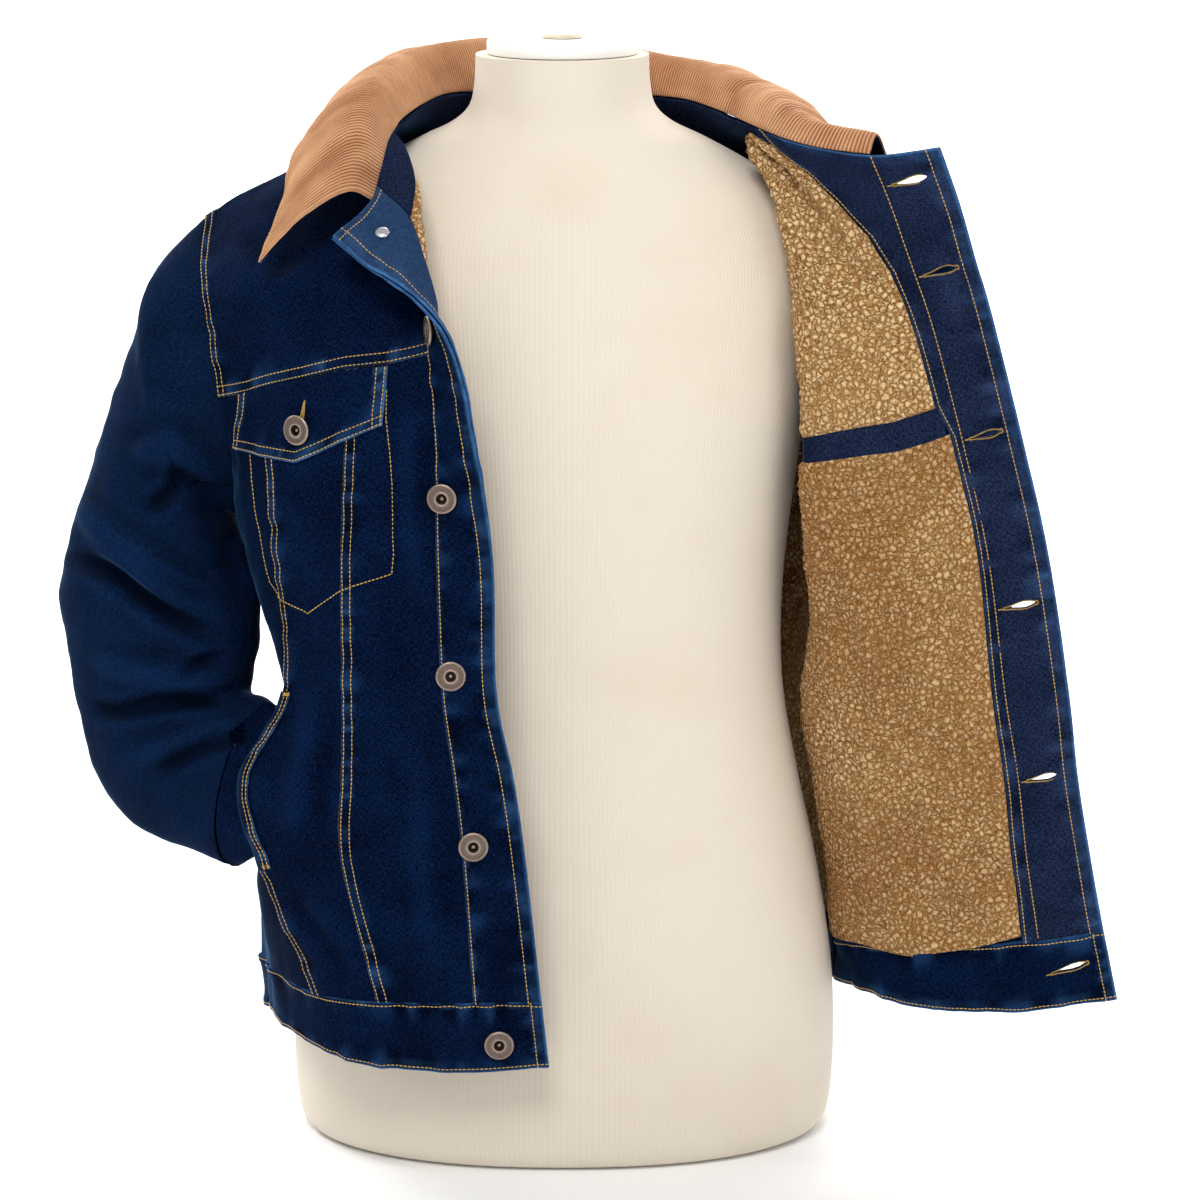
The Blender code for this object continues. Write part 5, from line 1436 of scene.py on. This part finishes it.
class JACKET_OT_form(Operator):
    """Build the dress form, its neck plate and its knob"""

    bl_idname = "jacket.form"
    bl_label = "Dress form"

    def execute(self, context):
        rows = curve_shares(np.linspace(0, len(FORM) - 1, FORM_RINGS), len(FORM)) @ np.array(FORM, float)
        turn = 2 * pi * np.arange(FORM_SIDES) / FORM_SIDES
        share = 2 / FORM_SQUARENESS
        across = abs(np.cos(turn)) ** share * np.sign(np.cos(turn))
        depth = abs(np.sin(turn)) ** share * np.sign(np.sin(turn))
        rings = [np.stack([half * across, np.where(depth > 0, rear, front) * depth, 0 * turn + height], 1)
                 for height, half, front, rear in rows]
        torso = lofted("form_torso", rings)
        torso.data.set_sharp_from_angle(angle=radians(50))
        finish_piece(torso, "jersey", ["dress_form"])
        top = FORM[-1][0] + SEAT_GAP
        plate = turned("form_neck_plate", NECK_PLATE, 96, (0, NECK_MIDDLE, top), (0, 0, 1))
        finish_piece(plate, "neck plate", ["form_neck_cap"])
        top += NECK_PLATE[-1][1] + SEAT_GAP
        knob = turned("form_wooden_knob", KNOB, 64, (0, NECK_MIDDLE, top), (0, 0, 1))
        finish_piece(knob, "knob wood", ["form_knob"])
        return {"FINISHED"}


# How far a row of stitches lies above the cloth.
THREAD_LIFT = 0.1
# Stitched outline of the chest pocket's bag, as (rail, level).
POCKET_BAG = ((1.4, 5.98), (1.49, 5.62), (1.6, 5.2), (1.68, 4.78), (1.95, 4.7), (2.97, 4.58), (4.27, 4.78),
              (5.08, 4.88), (5.12, 5.03), (5.07, 5.6), (4.92, 6.25), (4.94, 6.6))


# The denim inside the hand pocket's mouth: its layer, and how far it reaches across the rails and up.
POCKET_INSIDE = (-0.85, 0.15)
POCKET_SPAN = (SEAM_2 - 0.1, SEAM_2 + 1.2)
POCKET_HEIGHT = (1.0, 5.4)


def front_panels(hand, surface, side_surface, group):
    """The denim panels and the yoke of one front."""
    panel(f"front_side_{hand}", side_surface, (SIDE, SEAM_2), (HEM, FRONT_YOKE), group=group, seed=3)
    panel(f"front_middle_{hand}", surface, (SEAM_2, SEAM_1), (HEM, FRONT_YOKE), rows={"left": STITCH_ROWS},
          group=group, seed=4)
    panel(f"front_centre_{hand}", surface, (SEAM_1, PLACKET), (HEM, FRONT_YOKE), rows={"left": STITCH_ROWS},
          group=group, seed=5)
    panel(f"front_yoke_{hand}", surface, (SIDE, PLACKET), (FRONT_YOKE, NECK),
          rows={"foot": STITCH_ROWS, "left": STITCH_ROWS}, group=group, seed=6)


class JACKET_OT_right_front(Operator):
    """Build the right front with its button band, facing and waistband"""

    bl_idname = "jacket.right_front"
    bl_label = "Right front"

    def execute(self, context):
        group = "stitches_right_front"
        front_panels("right", right, right_side, group)
        panel("pocket_inside_right", right_side, POCKET_SPAN, POCKET_HEIGHT, POCKET_INSIDE, seed=29,
              is_node=False)
        panel("button_band", right, (PLACKET, EDGE), (HEM, NECK), rows={"left": (1.7,), "right": EDGE_ROW},
              edges=("right",), group=group, seed=7)
        panel("facing_right", right, (FACING_RAIL, EDGE), (HEM, NECK), FACING, "facing denim",
              rows={"right": EDGE_ROW, "top": (6.0,)}, edges=("right", "top"), group=group, face=-1, seed=8,
              worn=0.2)
        panel("waistband_right", right, (SIDE, EDGE), (0, WAIST_TOP), BAND,
              rows={**BAND_ROWS, "right": (8.0,)}, edges=("right", "foot"), group=group, seed=9, puckers=1.5)
        sew_line(group, right_side, POCKET_BAG[:5], DENIM[1] + THREAD_LIFT)
        sew_line(group, right, POCKET_BAG[4:], DENIM[1] + THREAD_LIFT)
        return {"FINISHED"}


def buttonhole_marks():
    """Mesh lines at the buttonholes' ends and lips, and the slits themselves."""
    rails = [PLACKET + share for share in HOLE_ENDS]
    slits = []
    for level in BUTTONHOLES:
        half = HOLE_HALF / np.linalg.norm(left.slopes(PLACKET + 0.5, level)[1])
        slits.append((*rails, level - half, level + half))
    return rails, slits


def open_holes(u, v):
    """Levels moved so that each buttonhole slants up to its outer end and gapes there."""
    share = np.clip((u - PLACKET - HOLE_ENDS[0]) / (HOLE_ENDS[1] - HOLE_ENDS[0]), 0, 1)
    gape = HOLE_GAPE * np.sin(pi * share ** 1.7)
    for level in BUTTONHOLES:
        along, up = (np.linalg.norm(slope) for slope in left.slopes(PLACKET + 0.5, level))
        gap = (v - level) * up
        slant = HOLE_SLANT * (u - PLACKET - np.mean(HOLE_ENDS)) * along * np.exp(-(gap / 14) ** 2)
        slant = slant * soft_step((u - PLACKET + 0.1) / 0.2)
        v = v + (np.sign(gap) * gape * np.exp(-abs(gap) / 4) + slant) / up
    return v


class JACKET_OT_left_front(Operator):
    """Build the left front with its buttonhole band, facing and waistband"""

    bl_idname = "jacket.left_front"
    bl_label = "Left front"

    def execute(self, context):
        group = "stitches_left_front"
        front_panels("left", left, left, group)
        rails, slits = buttonhole_marks()
        cuts = {"marks": (rails, [level for slit in slits[1:] for level in slit[2:]]), "slits": slits[1:],
                "warp": open_holes}
        panel("buttonhole_band", left, (PLACKET, EDGE), (HEM, NECK), rows={"left": (1.7,), "right": EDGE_ROW},
              edges=("right",), group=group, seed=10, **cuts)
        panel("facing_left", left, (LEFT_FACING, EDGE), (HEM, NECK), FACING, "facing denim",
              rows={"left": (2.6,), "right": EDGE_ROW}, edges=("right", "top"), group=group, face=-1, seed=11,
              **cuts)
        sew_line(group, left, ((PLACKET + 0.02, 1.05), (PLACKET + 0.02, 9.98)), FACING[0] - THREAD_LIFT)
        panel("waistband_left", left, (SIDE, EDGE), (0, WAIST_TOP), BAND,
              rows={**BAND_ROWS, "right": (8.0,)}, edges=("right", "foot"), group=group, face=-1, seed=12,
              puckers=1.5, marks=(rails, slits[0][2:]), slits=slits[:1], warp=open_holes)
        return {"FINISHED"}


class JACKET_OT_back(Operator):
    """Build the back with its yoke, neck facing and waistband"""

    bl_idname = "jacket.back"
    bl_label = "Back"

    def execute(self, context):
        group = "stitches_back"
        panel("back_side_right", back, (SIDE_R, SEAM_R), (HEM, BACK_YOKE), group=group, seed=13,
              step=HIDDEN_STEP)
        panel("back_centre", back, (SEAM_R, SEAM_L), (HEM, BACK_YOKE), group=group,
              rows={"left": STITCH_ROWS, "right": STITCH_ROWS}, seed=14, step=CURVED_STEP)
        panel("back_side_left", back, (SEAM_L, SIDE_L), (HEM, BACK_YOKE), group=group, seed=15,
              step=HIDDEN_STEP)
        panel("back_yoke", back, (SIDE_R, SIDE_L), (BACK_YOKE, NECK), group=group, seed=16, step=CURVED_STEP,
              rows={"foot": STITCH_ROWS, "left": STITCH_ROWS, "right": STITCH_ROWS})
        panel("waistband_back", back, (SIDE_R, SIDE_L), (0, WAIST_TOP), BAND, group=group, rows=BAND_ROWS,
              edges=("foot",), seed=17, puckers=1.5)
        panel("neck_facing_back", back, (SIDE_R, SIDE_L), (ROLL, NECK), FACING, "facing denim", face=-1,
              seed=18, step=HIDDEN_STEP)
        return {"FINISHED"}


# Beside the top of the left front's facing the lining's edge rolls up, with a dip beside the roll, and near
# the neck it bulges: heights, distances in from the facing or a (rail, level) place, and widths.
ROLL_RISE, ROLL_PLACE, ROLL_WIDTH = 8.0, 10, 8
DIP_SHARE, DIP_PLACE, DIP_WIDTH = 0.45, 29, 9
BULGE_RISE, BULGE_PLACE, BULGE_REACH = 10, (4.1, 9.5), 0.45
# How far the pile stands up inside its borders, and how much painted shade it carries over a width beside the
# side seam.
PILE_LIFT = 1.2
SIDE_SHADE, SIDE_SHADE_REACH = 0.25, 30
# The side seam's allowance, and the lower and upper edges of the left front's two linings as (rail, level).
SIDE_ALLOWANCE = 0.08
UPPER_LEVELS = (((0, 6.1), (2.3, 6.12), (4.6, 6.23), (5.8, 6.34)), 9.73)
LOWER_LEVELS = (((0, 1.05), (1.95, 1.02), (3.74, 0.9), (4.7, 0.97), (5.75, 1.1)),
                ((0, 5.88), (2.3, 5.88), (4.46, 5.98), (5.75, 6.12)))


def pile_piece(piece_name, surface, rails, levels, step, seed, rolled=False, dim=0.0):
    """A pile lining, its inner side heaped up in clumps."""
    looks = settings().pile
    cloth = Cloth(surface, rails, levels, step)
    size = looks.clump / MM
    x, y = cloth.left, cloth.foot
    clumps = clump_heights(x, y, size, seed)
    curls = clump_heights(x, y, size * 0.45, seed + 5)
    depth = (0.85 * clumps + 0.15 * curls) * (0.9 + 0.1 * waves_2d(x, y, 24.0, seed + 9))
    edge = soft_step(cloth.edge_gap() / 3.0)
    height = looks.depth / MM * depth * (0.25 + 0.75 * edge) + PILE_LIFT * edge
    if rolled:
        height += rolled_edge(cloth)
    # Painted shade beside the side seam, and over the whole piece where it is given.
    shade = SIDE_SHADE * (1 - soft_step(cloth.left / SIDE_SHADE_REACH))
    values = {"depth": depth, "dim": dim * (1 + 0.5 * waves_2d(x, y, 45.0, seed + 13)) + shade}
    piece = cloth_wall(f"{piece_name}_pile", cloth, PILE_BACKING, 0.0, -height, marks=values)
    finish_piece(piece, "pile", [piece_name], cloth)


def rolled_edge(cloth):
    """How far the left upper lining rolls and bulges up."""
    roll = np.exp(-((cloth.right - ROLL_PLACE) / ROLL_WIDTH) ** 2)
    dip = DIP_SHARE * np.exp(-((cloth.right - DIP_PLACE) / DIP_WIDTH) ** 2)
    rail, level = BULGE_PLACE
    bulge = np.exp(-((cloth.u - rail) / BULGE_REACH) ** 2 - ((cloth.v - level) / BULGE_REACH) ** 2)
    return ROLL_RISE * (roll - dip) * soft_step((cloth.v - 7.2) / 1.6) + BULGE_RISE * bulge


class JACKET_OT_linings(Operator):
    """Build the pile linings, the neck facings and the inner pocket's strip"""

    bl_idname = "jacket.linings"
    bl_label = "Linings"

    def execute(self, context):
        fine = settings().pile.grid / MM
        start = SIDE + SIDE_ALLOWANCE
        pile_piece("lining_left_upper", left, (start, LEFT_FACING), UPPER_LEVELS, fine, 31, True)
        # The lower lining carries painted shade all over.
        pile_piece("lining_left_lower", left, (start, LEFT_FACING), LOWER_LEVELS, fine, 41, dim=0.36)
        pile_piece("lining_back", back, (SIDE_R + 0.1, SIDE_L - 0.1), (LINING_FOOT, ROLL), HIDDEN_STEP, 51)
        pile_piece("lining_right", right_side, (start, FACING_RAIL), (LINING_FOOT, ROLL), HIDDEN_STEP, 61)
        panel("inner_pocket_edge", left, (SIDE + 0.05, FACING_RAIL), (5.8, 6.42), POCKET_STRIP,
              "facing denim", face=-1, seed=19)
        panel("neck_facing_left", left, (SIDE, 4.4), (9.6, NECK), FACING, "facing denim", face=-1, seed=20)
        panel("neck_facing_right", right_side, (SEAM_1 + 0.5, FACING_RAIL), (ROLL, NECK), FACING,
              "facing denim", face=-1, seed=21)
        return {"FINISHED"}


# Mesh lines of the corduroy: how far apart along its wales, and how many to one wale.
CORD_STEP = 4.2
LINES_A_WALE = 4


class JACKET_OT_collar(Operator):
    """Build the corduroy top collar and the denim under collar"""

    bl_idname = "jacket.collar"
    bl_label = "Collar"

    def execute(self, context):
        looks = settings().cord
        whole = (0, collar.rail_count - 1), (0, collar.level_count - 1)
        spacing = looks.spacing / MM
        v = np.linspace(*whole[1], 400)
        run = lengths(collar.point(2.0, v)[None], 1)[0]
        step = run[-1] / round(run[-1] / spacing * LINES_A_WALE)
        cloth = Cloth(collar, *whole, (CORD_STEP, step))
        rows = np.interp(cloth.v, v, run)
        wave = 0.5 + 0.5 * np.cos(2 * pi * rows / spacing)
        height = wave ** 0.8 * (1 + 0.12 * waves_2d(rows, cloth.left, 9.0, 5))
        lifts = looks.height / MM * height * soft_step(cloth.edge_gap() / 1.5) + edge_rounding(cloth)
        # The tone mark rubs the collar paler on its crease ridges: partly wear and partly a painted
        # highlight.
        values = {"depth": height, "tone": cloth.tone()}
        piece = cloth_wall("top_collar_cord", cloth, TOP_COLLAR, lifts, marks=values)
        finish_piece(piece, "corduroy", ["top_collar"], cloth)
        panel("under_collar", collar, *whole, UNDER_COLLAR, edges=("right",), face=-1, seed=22,
              step=HIDDEN_STEP)
        sew_beside("stitches_collar", cloth, "right", 6.0, TOP_COLLAR[1], 0 * lifts + 0.6)
        return {"FINISHED"}


class JACKET_OT_sleeves(Operator):
    """Build both sleeves and their cuffs"""

    bl_idname = "jacket.sleeves"
    bl_label = "Sleeves"

    def execute(self, context):
        first, last = SLEEVE_SPLIT
        for hand, surface, end in (("right", right_sleeve, len(RIGHT_SLEEVE)),
                                   ("left", left_sleeve, len(LEFT_SLEEVE))):
            group = f"stitches_{hand}_sleeve"
            stop = surface.level_count - 1
            panel(f"top_sleeve_{hand}", surface, (first, last), (0, end), SLEEVE, group=group, seed=23,
                  rows={"right": STITCH_ROWS}, worn=0.025)
            panel(f"under_sleeve_{hand}", surface, (last, first + SLEEVE_SIDES), (0, end), SLEEVE,
                  group=group, seed=24, worn=0.02)
            cuff_rows = {"foot": (2.5,), "top": (2.5,)} if hand == "left" else {"top": (2.5,)}
            panel(f"cuff_{hand}", surface, (0, SLEEVE_SIDES), (end + 0.25, stop), CUFF, group=group, seed=25,
                  rows=cuff_rows, edges=("top",))
        return {"FINISHED"}


# Chest pocket flap: its sides as rails at levels, and its upper and lower edges as levels at rails.
FLAP_SIDES = (((6.08, 0.6), (6.95, 0.95)), ((6.18, 4.86), (6.9, 5.02)))
FLAP_ENDS = (((0.6, 6.08), (2.93, 5.87), (4.86, 6.18)), ((0.95, 6.93), (5.02, 6.88)))
# How many rails nearer to the placket the left front's flap is sewn.
LEFT_SHIFT = 0.45
FRONTS = ((right, 0.0), (left, LEFT_SHIFT))
WELT_RAILS = (SEAM_2 + 0.03, SEAM_2 + 0.38)
# Waist tabs as rails of the back, and their levels on the waistband.
TAB_RAILS = {"right": (0.1, 1.3), "left": (6.7, 7.9)}
TAB_LEVELS = (0.3, 0.85)


def shifted(table, rails, column):
    """A border's table moved along the rails."""
    return tuple(tuple(value + rails * (k == column) for k, value in enumerate(row)) for row in table)


class JACKET_OT_pockets(Operator):
    """Build the chest flaps, the hand pockets' welts and the waist tabs"""

    bl_idname = "jacket.pockets"
    bl_label = "Pockets and tabs"

    def execute(self, context):
        sides = ("foot", "left", "right")
        for hand, (surface, shift) in zip(("right", "left"), FRONTS):
            group = f"stitches_{hand}_front"
            panel(f"pocket_flap_{hand}", surface, tuple(shifted(line, shift, 1) for line in FLAP_SIDES),
                  tuple(shifted(line, shift, 0) for line in FLAP_ENDS), OVERLAY,
                  rows={side: STITCH_ROWS for side in sides}, edges=sides, group=group, seed=26,
                  step=SMALL_STEP)
            panel(f"pocket_welt_{hand}", surface, WELT_RAILS, (2.0, 4.0), WELT, rows={"right": (1.5, 5.5)},
                  edges=("left",), group=group, seed=27, step=SMALL_STEP)
        for hand, rails in TAB_RAILS.items():
            panel(f"waist_tab_{hand}", back, rails, TAB_LEVELS, OVERLAY, rows={"foot": (2.0,), "top": (2.0,)},
                  edges=("foot", "top"), group="stitches_back", seed=28, step=SMALL_STEP)
        return {"FINISHED"}


# A tack button as (radius, height), how bright each of its pairs is, and the small plate behind the top one.
# The brightness is real rubbing on the raised rims and painted shade down in the hole and under the button.
BUTTON = ((3.0, 0.0), (3.2, 2.1), (9.8, 2.2), (10.4, 2.5), (10.6, 3.0), (10.5, 3.5), (9.9, 4.1), (9.1, 4.3),
          (8.4, 4.2), (6.2, 4.0), (5.2, 4.1), (4.5, 4.4), (3.9, 4.2), (3.6, 3.6), (3.5, 2.4), (3.4, 1.2),
          (1.9, 1.2), (1.5, 1.8), (1.2, 2.5), (0.5, 2.8))
BUTTON_WEAR_AND_SHADE = (0.2, 0.2, 0.3, 0.6, 0.9, 1.0, 0.9, 0.5, 0.35, 0.4, 0.6, 1.0, 0.7, 0.2, 0.0, 0.0, 0.0, 0.2,
               0.6, 0.9)
RIVET = ((4.8, 0.0), (4.9, 0.4), (4.5, 0.9), (3.6, 1.25), (2.0, 1.4), (0.8, 1.45))
# How far off the cloth a button stands.
BUTTON_SEAT = 0.35
BUTTON_SIDES = 48
# Front buttons: place across the band from the placket seam to the edge, and the level up the front.
FRONT_BUTTONS = ((0.33, 0.48), (0.2, 2.17), (0.2, 4.15), (0.17, 5.47), (0.3, 7.3), (0.35, 9.3))
FLAP_BUTTON = (2.9, 6.25)
CUFF_BUTTON_SIDE = 5
# How far along its tab a tab button is sewn.
TAB_BUTTON = 0.85
# Buttonholes of the left band: levels up the front, the first in the waistband, and the slit's ends.
BUTTONHOLES = (0.57, 3.03, 4.64, 6.09, 7.85, 9.48)
HOLE_ENDS = (0.16, 0.68)
# Half the slit's cut width, how far it gapes, and how steeply it slants.
HOLE_HALF = 0.3
HOLE_GAPE = 2.5
HOLE_SLANT = 0.17
# Levels of the bartacks at a welt's two ends, and of the worked hole in a flap.
BARTACKS = (2.03, 3.97)
FLAP_HOLE = (6.33, 6.62)


def button(piece_name, surface, u, v, cloth):
    """A tack button that stands on the cloth."""
    axis = surface.out(u, v)
    seat = surface.place(u, v, cloth) + axis * BUTTON_SEAT
    piece = turned(f"{piece_name}_cap", BUTTON, BUTTON_SIDES, seat, axis, BUTTON_WEAR_AND_SHADE)
    finish_piece(piece, "copper", [piece_name])


class JACKET_OT_buttons(Operator):
    """Build the tack buttons and the rivet of the top one"""

    bl_idname = "jacket.buttons"
    bl_label = "Buttons"

    def execute(self, context):
        for number, (across, level) in enumerate(FRONT_BUTTONS, 1):
            button(f"front_button_{number}", right, PLACKET + across, level, DENIM[1])
        rail, level = FLAP_BUTTON
        button("flap_button_right", right, rail, level, OVERLAY[1])
        button("flap_button_left", left, rail + LEFT_SHIFT, level, OVERLAY[1])
        middle = sum(TAB_LEVELS) / 2
        start, end = TAB_RAILS["right"]
        button("tab_button_right", back, start + TAB_BUTTON * (end - start), middle, OVERLAY[1])
        start, end = TAB_RAILS["left"]
        button("tab_button_left", back, end - TAB_BUTTON * (end - start), middle, OVERLAY[1])
        button("cuff_button_left", left_sleeve, CUFF_BUTTON_SIDE, len(LEFT_SLEEVE) + 2, SLEEVE[1])
        across, level = FRONT_BUTTONS[-1]
        u = PLACKET + across
        axis = -right.out(u, level)
        seat = right.place(u, level, FACING[0]) + axis * BUTTON_SEAT
        rivet = turned("top_button_back", RIVET, BUTTON_SIDES, seat, axis)
        finish_piece(rivet, "silver", ["top_rivet"])
        return {"FINISHED"}


class JACKET_OT_buttonholes(Operator):
    """Stitch round the buttonholes of the left front"""

    bl_idname = "jacket.buttonholes"
    bl_label = "Buttonholes"

    def execute(self, context):
        rows = []
        first, last = (PLACKET + share for share in HOLE_ENDS)
        for level in BUTTONHOLES:
            along, up = (np.linalg.norm(slope) for slope in left.slopes((first + last) / 2, level))
            run = np.arange(0, (last - first) * along, 0.7) / along
            for side in (-1, 1):
                u = first + run
                v = open_holes(u, np.full_like(u, level + side * (HOLE_HALF + 0.5) / up))
                lip = open_holes(u, np.full_like(u, level + side * HOLE_HALF / up))
                self.satin(rows, u, v, u, lip)
            turn = np.linspace(-pi / 2, pi / 2, 9)
            u, v = last + 1.5 * np.cos(turn) / along, level + 1.5 * np.sin(turn) / up
            self.satin(rows, u, open_holes(u, v), 0 * u + last, open_holes(0 * u + last, 0 * u + level))
            u = first - np.arange(0, 4.2, 0.55) / along
            v = open_holes(u, 0 * u + level)
            self.satin(rows, u, v, u, v + 1.0)
        for surface, shift in FRONTS:
            self.wedge(rows, surface, FLAP_BUTTON[0] + 0.1 + shift)
            for level in BARTACKS:
                self.bar(rows, surface, SEAM_2 + 0.3, level, WELT[1] + 2 * THREAD_LIFT)
        stitched("buttonhole_stitches", rows, stitch_tree(), (1.3, 0.5, 0.7 * settings().thread.width / MM))
        return {"FINISHED"}

    def wedge(self, rows, surface, rail):
        """The worked buttonhole above a flap's button, wider towards the button."""
        foot, top = FLAP_HOLE
        v, share = np.meshgrid(np.linspace(top, foot, 30), (-1.0, -0.33, 0.33, 1.0))
        along = np.linalg.norm(surface.slopes(rail, 6.5)[0])
        half = 0.3 + 1.5 * (top - v) / (top - foot)
        u, v = (rail + share * half / along - 0.25 * (top - v)).ravel(), v.ravel()
        ways = surface.slopes(u, v)[0]
        ways = ways / np.linalg.norm(ways, axis=1, keepdims=True)
        rows.append((surface.place(u, v, OVERLAY[1] + 2 * THREAD_LIFT), ways, surface.out(u, v)))

    def bar(self, rows, surface, rail, level, distance):
        """A bartack 7 mm long across the rails."""
        along, up = (np.linalg.norm(slope) for slope in surface.slopes(rail, level))
        u, v = np.meshgrid(rail + np.arange(-3.5, 3.6, 0.6) / along, level + np.array((-0.6, 0.6)) / up)
        u, v = u.ravel(), v.ravel()
        ways = surface.slopes(u, v)[1]
        ways = ways / np.linalg.norm(ways, axis=1, keepdims=True)
        rows.append((surface.place(u, v, distance), ways, surface.out(u, v)))

    def satin(self, rows, u, v, lip_u, lip_v):
        """Stitches across a slit's lip, on both faces of the band."""
        for distance in (DENIM[1] + THREAD_LIFT, FACING[0] - THREAD_LIFT):
            spots = left.place(u, v, distance)
            ways = left.place(lip_u, lip_v, distance) - spots
            ways /= np.maximum(np.linalg.norm(ways, axis=1, keepdims=True), 1e-6)
            rows.append((spots, ways, left.out(u, v) * np.sign(distance)))


class JACKET_OT_topstitching(Operator):
    """Sew every row of topstitching"""

    bl_idname = "jacket.topstitching"
    bl_label = "Topstitching"

    def execute(self, context):
        looks = settings().thread
        tree = stitch_tree()
        for group, rows in ROWS.items():
            stitched(group, rows, tree, (looks.stitch / MM, looks.width / MM, looks.width / MM))
        return {"FINISHED"}


# The floor and its bend up into the backdrop, in metres.
FLOOR_HALF, FLOOR_FRONT, BEND_START, BEND_RADIUS, BACKDROP_TOP = 8.0, -7.0, 2.0, 3.5, 8.0
# The camera's place in metres, how far it looks down, and its lens and sensor in millimetres.
CAMERA_PLACE = (0.027, -2.9, 1.06)
CAMERA_TILT = 12.84
CAMERA_LENS, CAMERA_SENSOR = 121.0, 36.0
OBJECT_MIDDLE = (0.0, 0.0, 0.45)


def area_light(light_name, spot, aim, size, power):
    """A soft square light that faces a point."""
    data = bpy.data.lights.new(light_name, "AREA")
    data.size, data.energy = size, power
    lamp = bpy.data.objects.new(light_name, data)
    lamp.location = spot
    lamp.rotation_euler = (Vector(aim) - Vector(spot)).to_track_quat("-Z", "Y").to_euler()
    bpy.context.collection.objects.link(lamp)


class JACKET_OT_stage(Operator):
    """Set up the floor, the light and the camera"""

    bl_idname = "jacket.stage"
    bl_label = "Stage"

    def execute(self, context):
        looks = settings().stage
        bend = [(BEND_START + BEND_RADIUS * sin(turn), BEND_RADIUS * (1 - cos(turn)))
                for turn in np.linspace(0, pi / 2, 13)]
        profile = [(FLOOR_FRONT, 0.0), *bend, (BEND_START + BEND_RADIUS, BACKDROP_TOP)]
        points = np.array([(x, y, z) for y, z in profile for x in (-FLOOR_HALF, FLOOR_HALF)])
        k = np.arange(len(profile) - 1) * 2
        context.scene.view_settings.view_transform = "Standard"
        floor = mesh_piece("floor", points, np.stack([k, k + 1, k + 3, k + 2], 1))
        floor.data.materials.append(material("floor"))
        world = bpy.data.worlds.new("studio")
        world.use_nodes = True
        shade = world.node_tree.nodes["Background"]
        shade.inputs["Color"].default_value = (1.0, 1.0, 1.0, 1.0)
        shade.inputs["Strength"].default_value = looks.world
        context.scene.world = world
        area_light("key", (-0.4, -2.1, 2.9), OBJECT_MIDDLE, 1.2, looks.key_power)
        area_light("fill", (2.2, -2.2, 1.2), OBJECT_MIDDLE, 1.6, looks.key_power * 0.2)
        area_light("backdrop", (0.0, 3.6, 3.6), (0.0, 4.4, 0.0), 3.0, looks.key_power * 4)
        for side, x in (("left", -1.9), ("right", 1.9)):
            area_light(f"rim {side}", (x, 1.3, 1.7), OBJECT_MIDDLE, 0.9, looks.rim_power)
        data = bpy.data.cameras.new("camera")
        data.lens, data.sensor_width = CAMERA_LENS, CAMERA_SENSOR
        data.clip_end = 50.0
        camera = bpy.data.objects.new("camera", data)
        camera.location = CAMERA_PLACE
        camera.rotation_euler = (radians(90 - CAMERA_TILT), 0.0, 0.0)
        context.collection.objects.link(camera)
        context.scene.camera = camera
        return {"FINISHED"}


STEPS = ("form", "right_front", "left_front", "back", "linings", "collar", "sleeves", "pockets", "buttons",
         "buttonholes", "topstitching", "stage")


class JACKET_PT_steps(Panel):
    """Lists the steps that build the jacket."""

    bl_idname = "JACKET_PT_steps"
    bl_label = "Denim jacket"
    bl_space_type = "VIEW_3D"
    bl_region_type = "UI"
    bl_category = "Jacket"

    def draw(self, context):
        for step in STEPS:
            self.layout.operator(f"jacket.{step}")


CLASSES = (JacketDenim, JacketPile, JacketCord, JacketThread, JacketMetal, JacketForm, JacketStage,
           JacketSettings, JACKET_OT_form, JACKET_OT_right_front, JACKET_OT_left_front, JACKET_OT_back,
           JACKET_OT_linings, JACKET_OT_collar, JACKET_OT_sleeves, JACKET_OT_pockets, JACKET_OT_buttons,
           JACKET_OT_buttonholes, JACKET_OT_topstitching, JACKET_OT_stage, JACKET_PT_steps)


def register():
    """Register every class and the scene's settings."""
    for made in CLASSES:
        bpy.utils.register_class(made)
    bpy.types.Scene.jacket = PointerProperty(type=JacketSettings)


def unregister():
    """Take the classes and the settings away again."""
    del bpy.types.Scene.jacket
    for made in reversed(CLASSES):
        bpy.utils.unregister_class(made)


def main():
    """Build everything in order."""
    register()
    for step in STEPS:
        getattr(bpy.ops.jacket, step)()


if __name__ == "__main__":
    main()
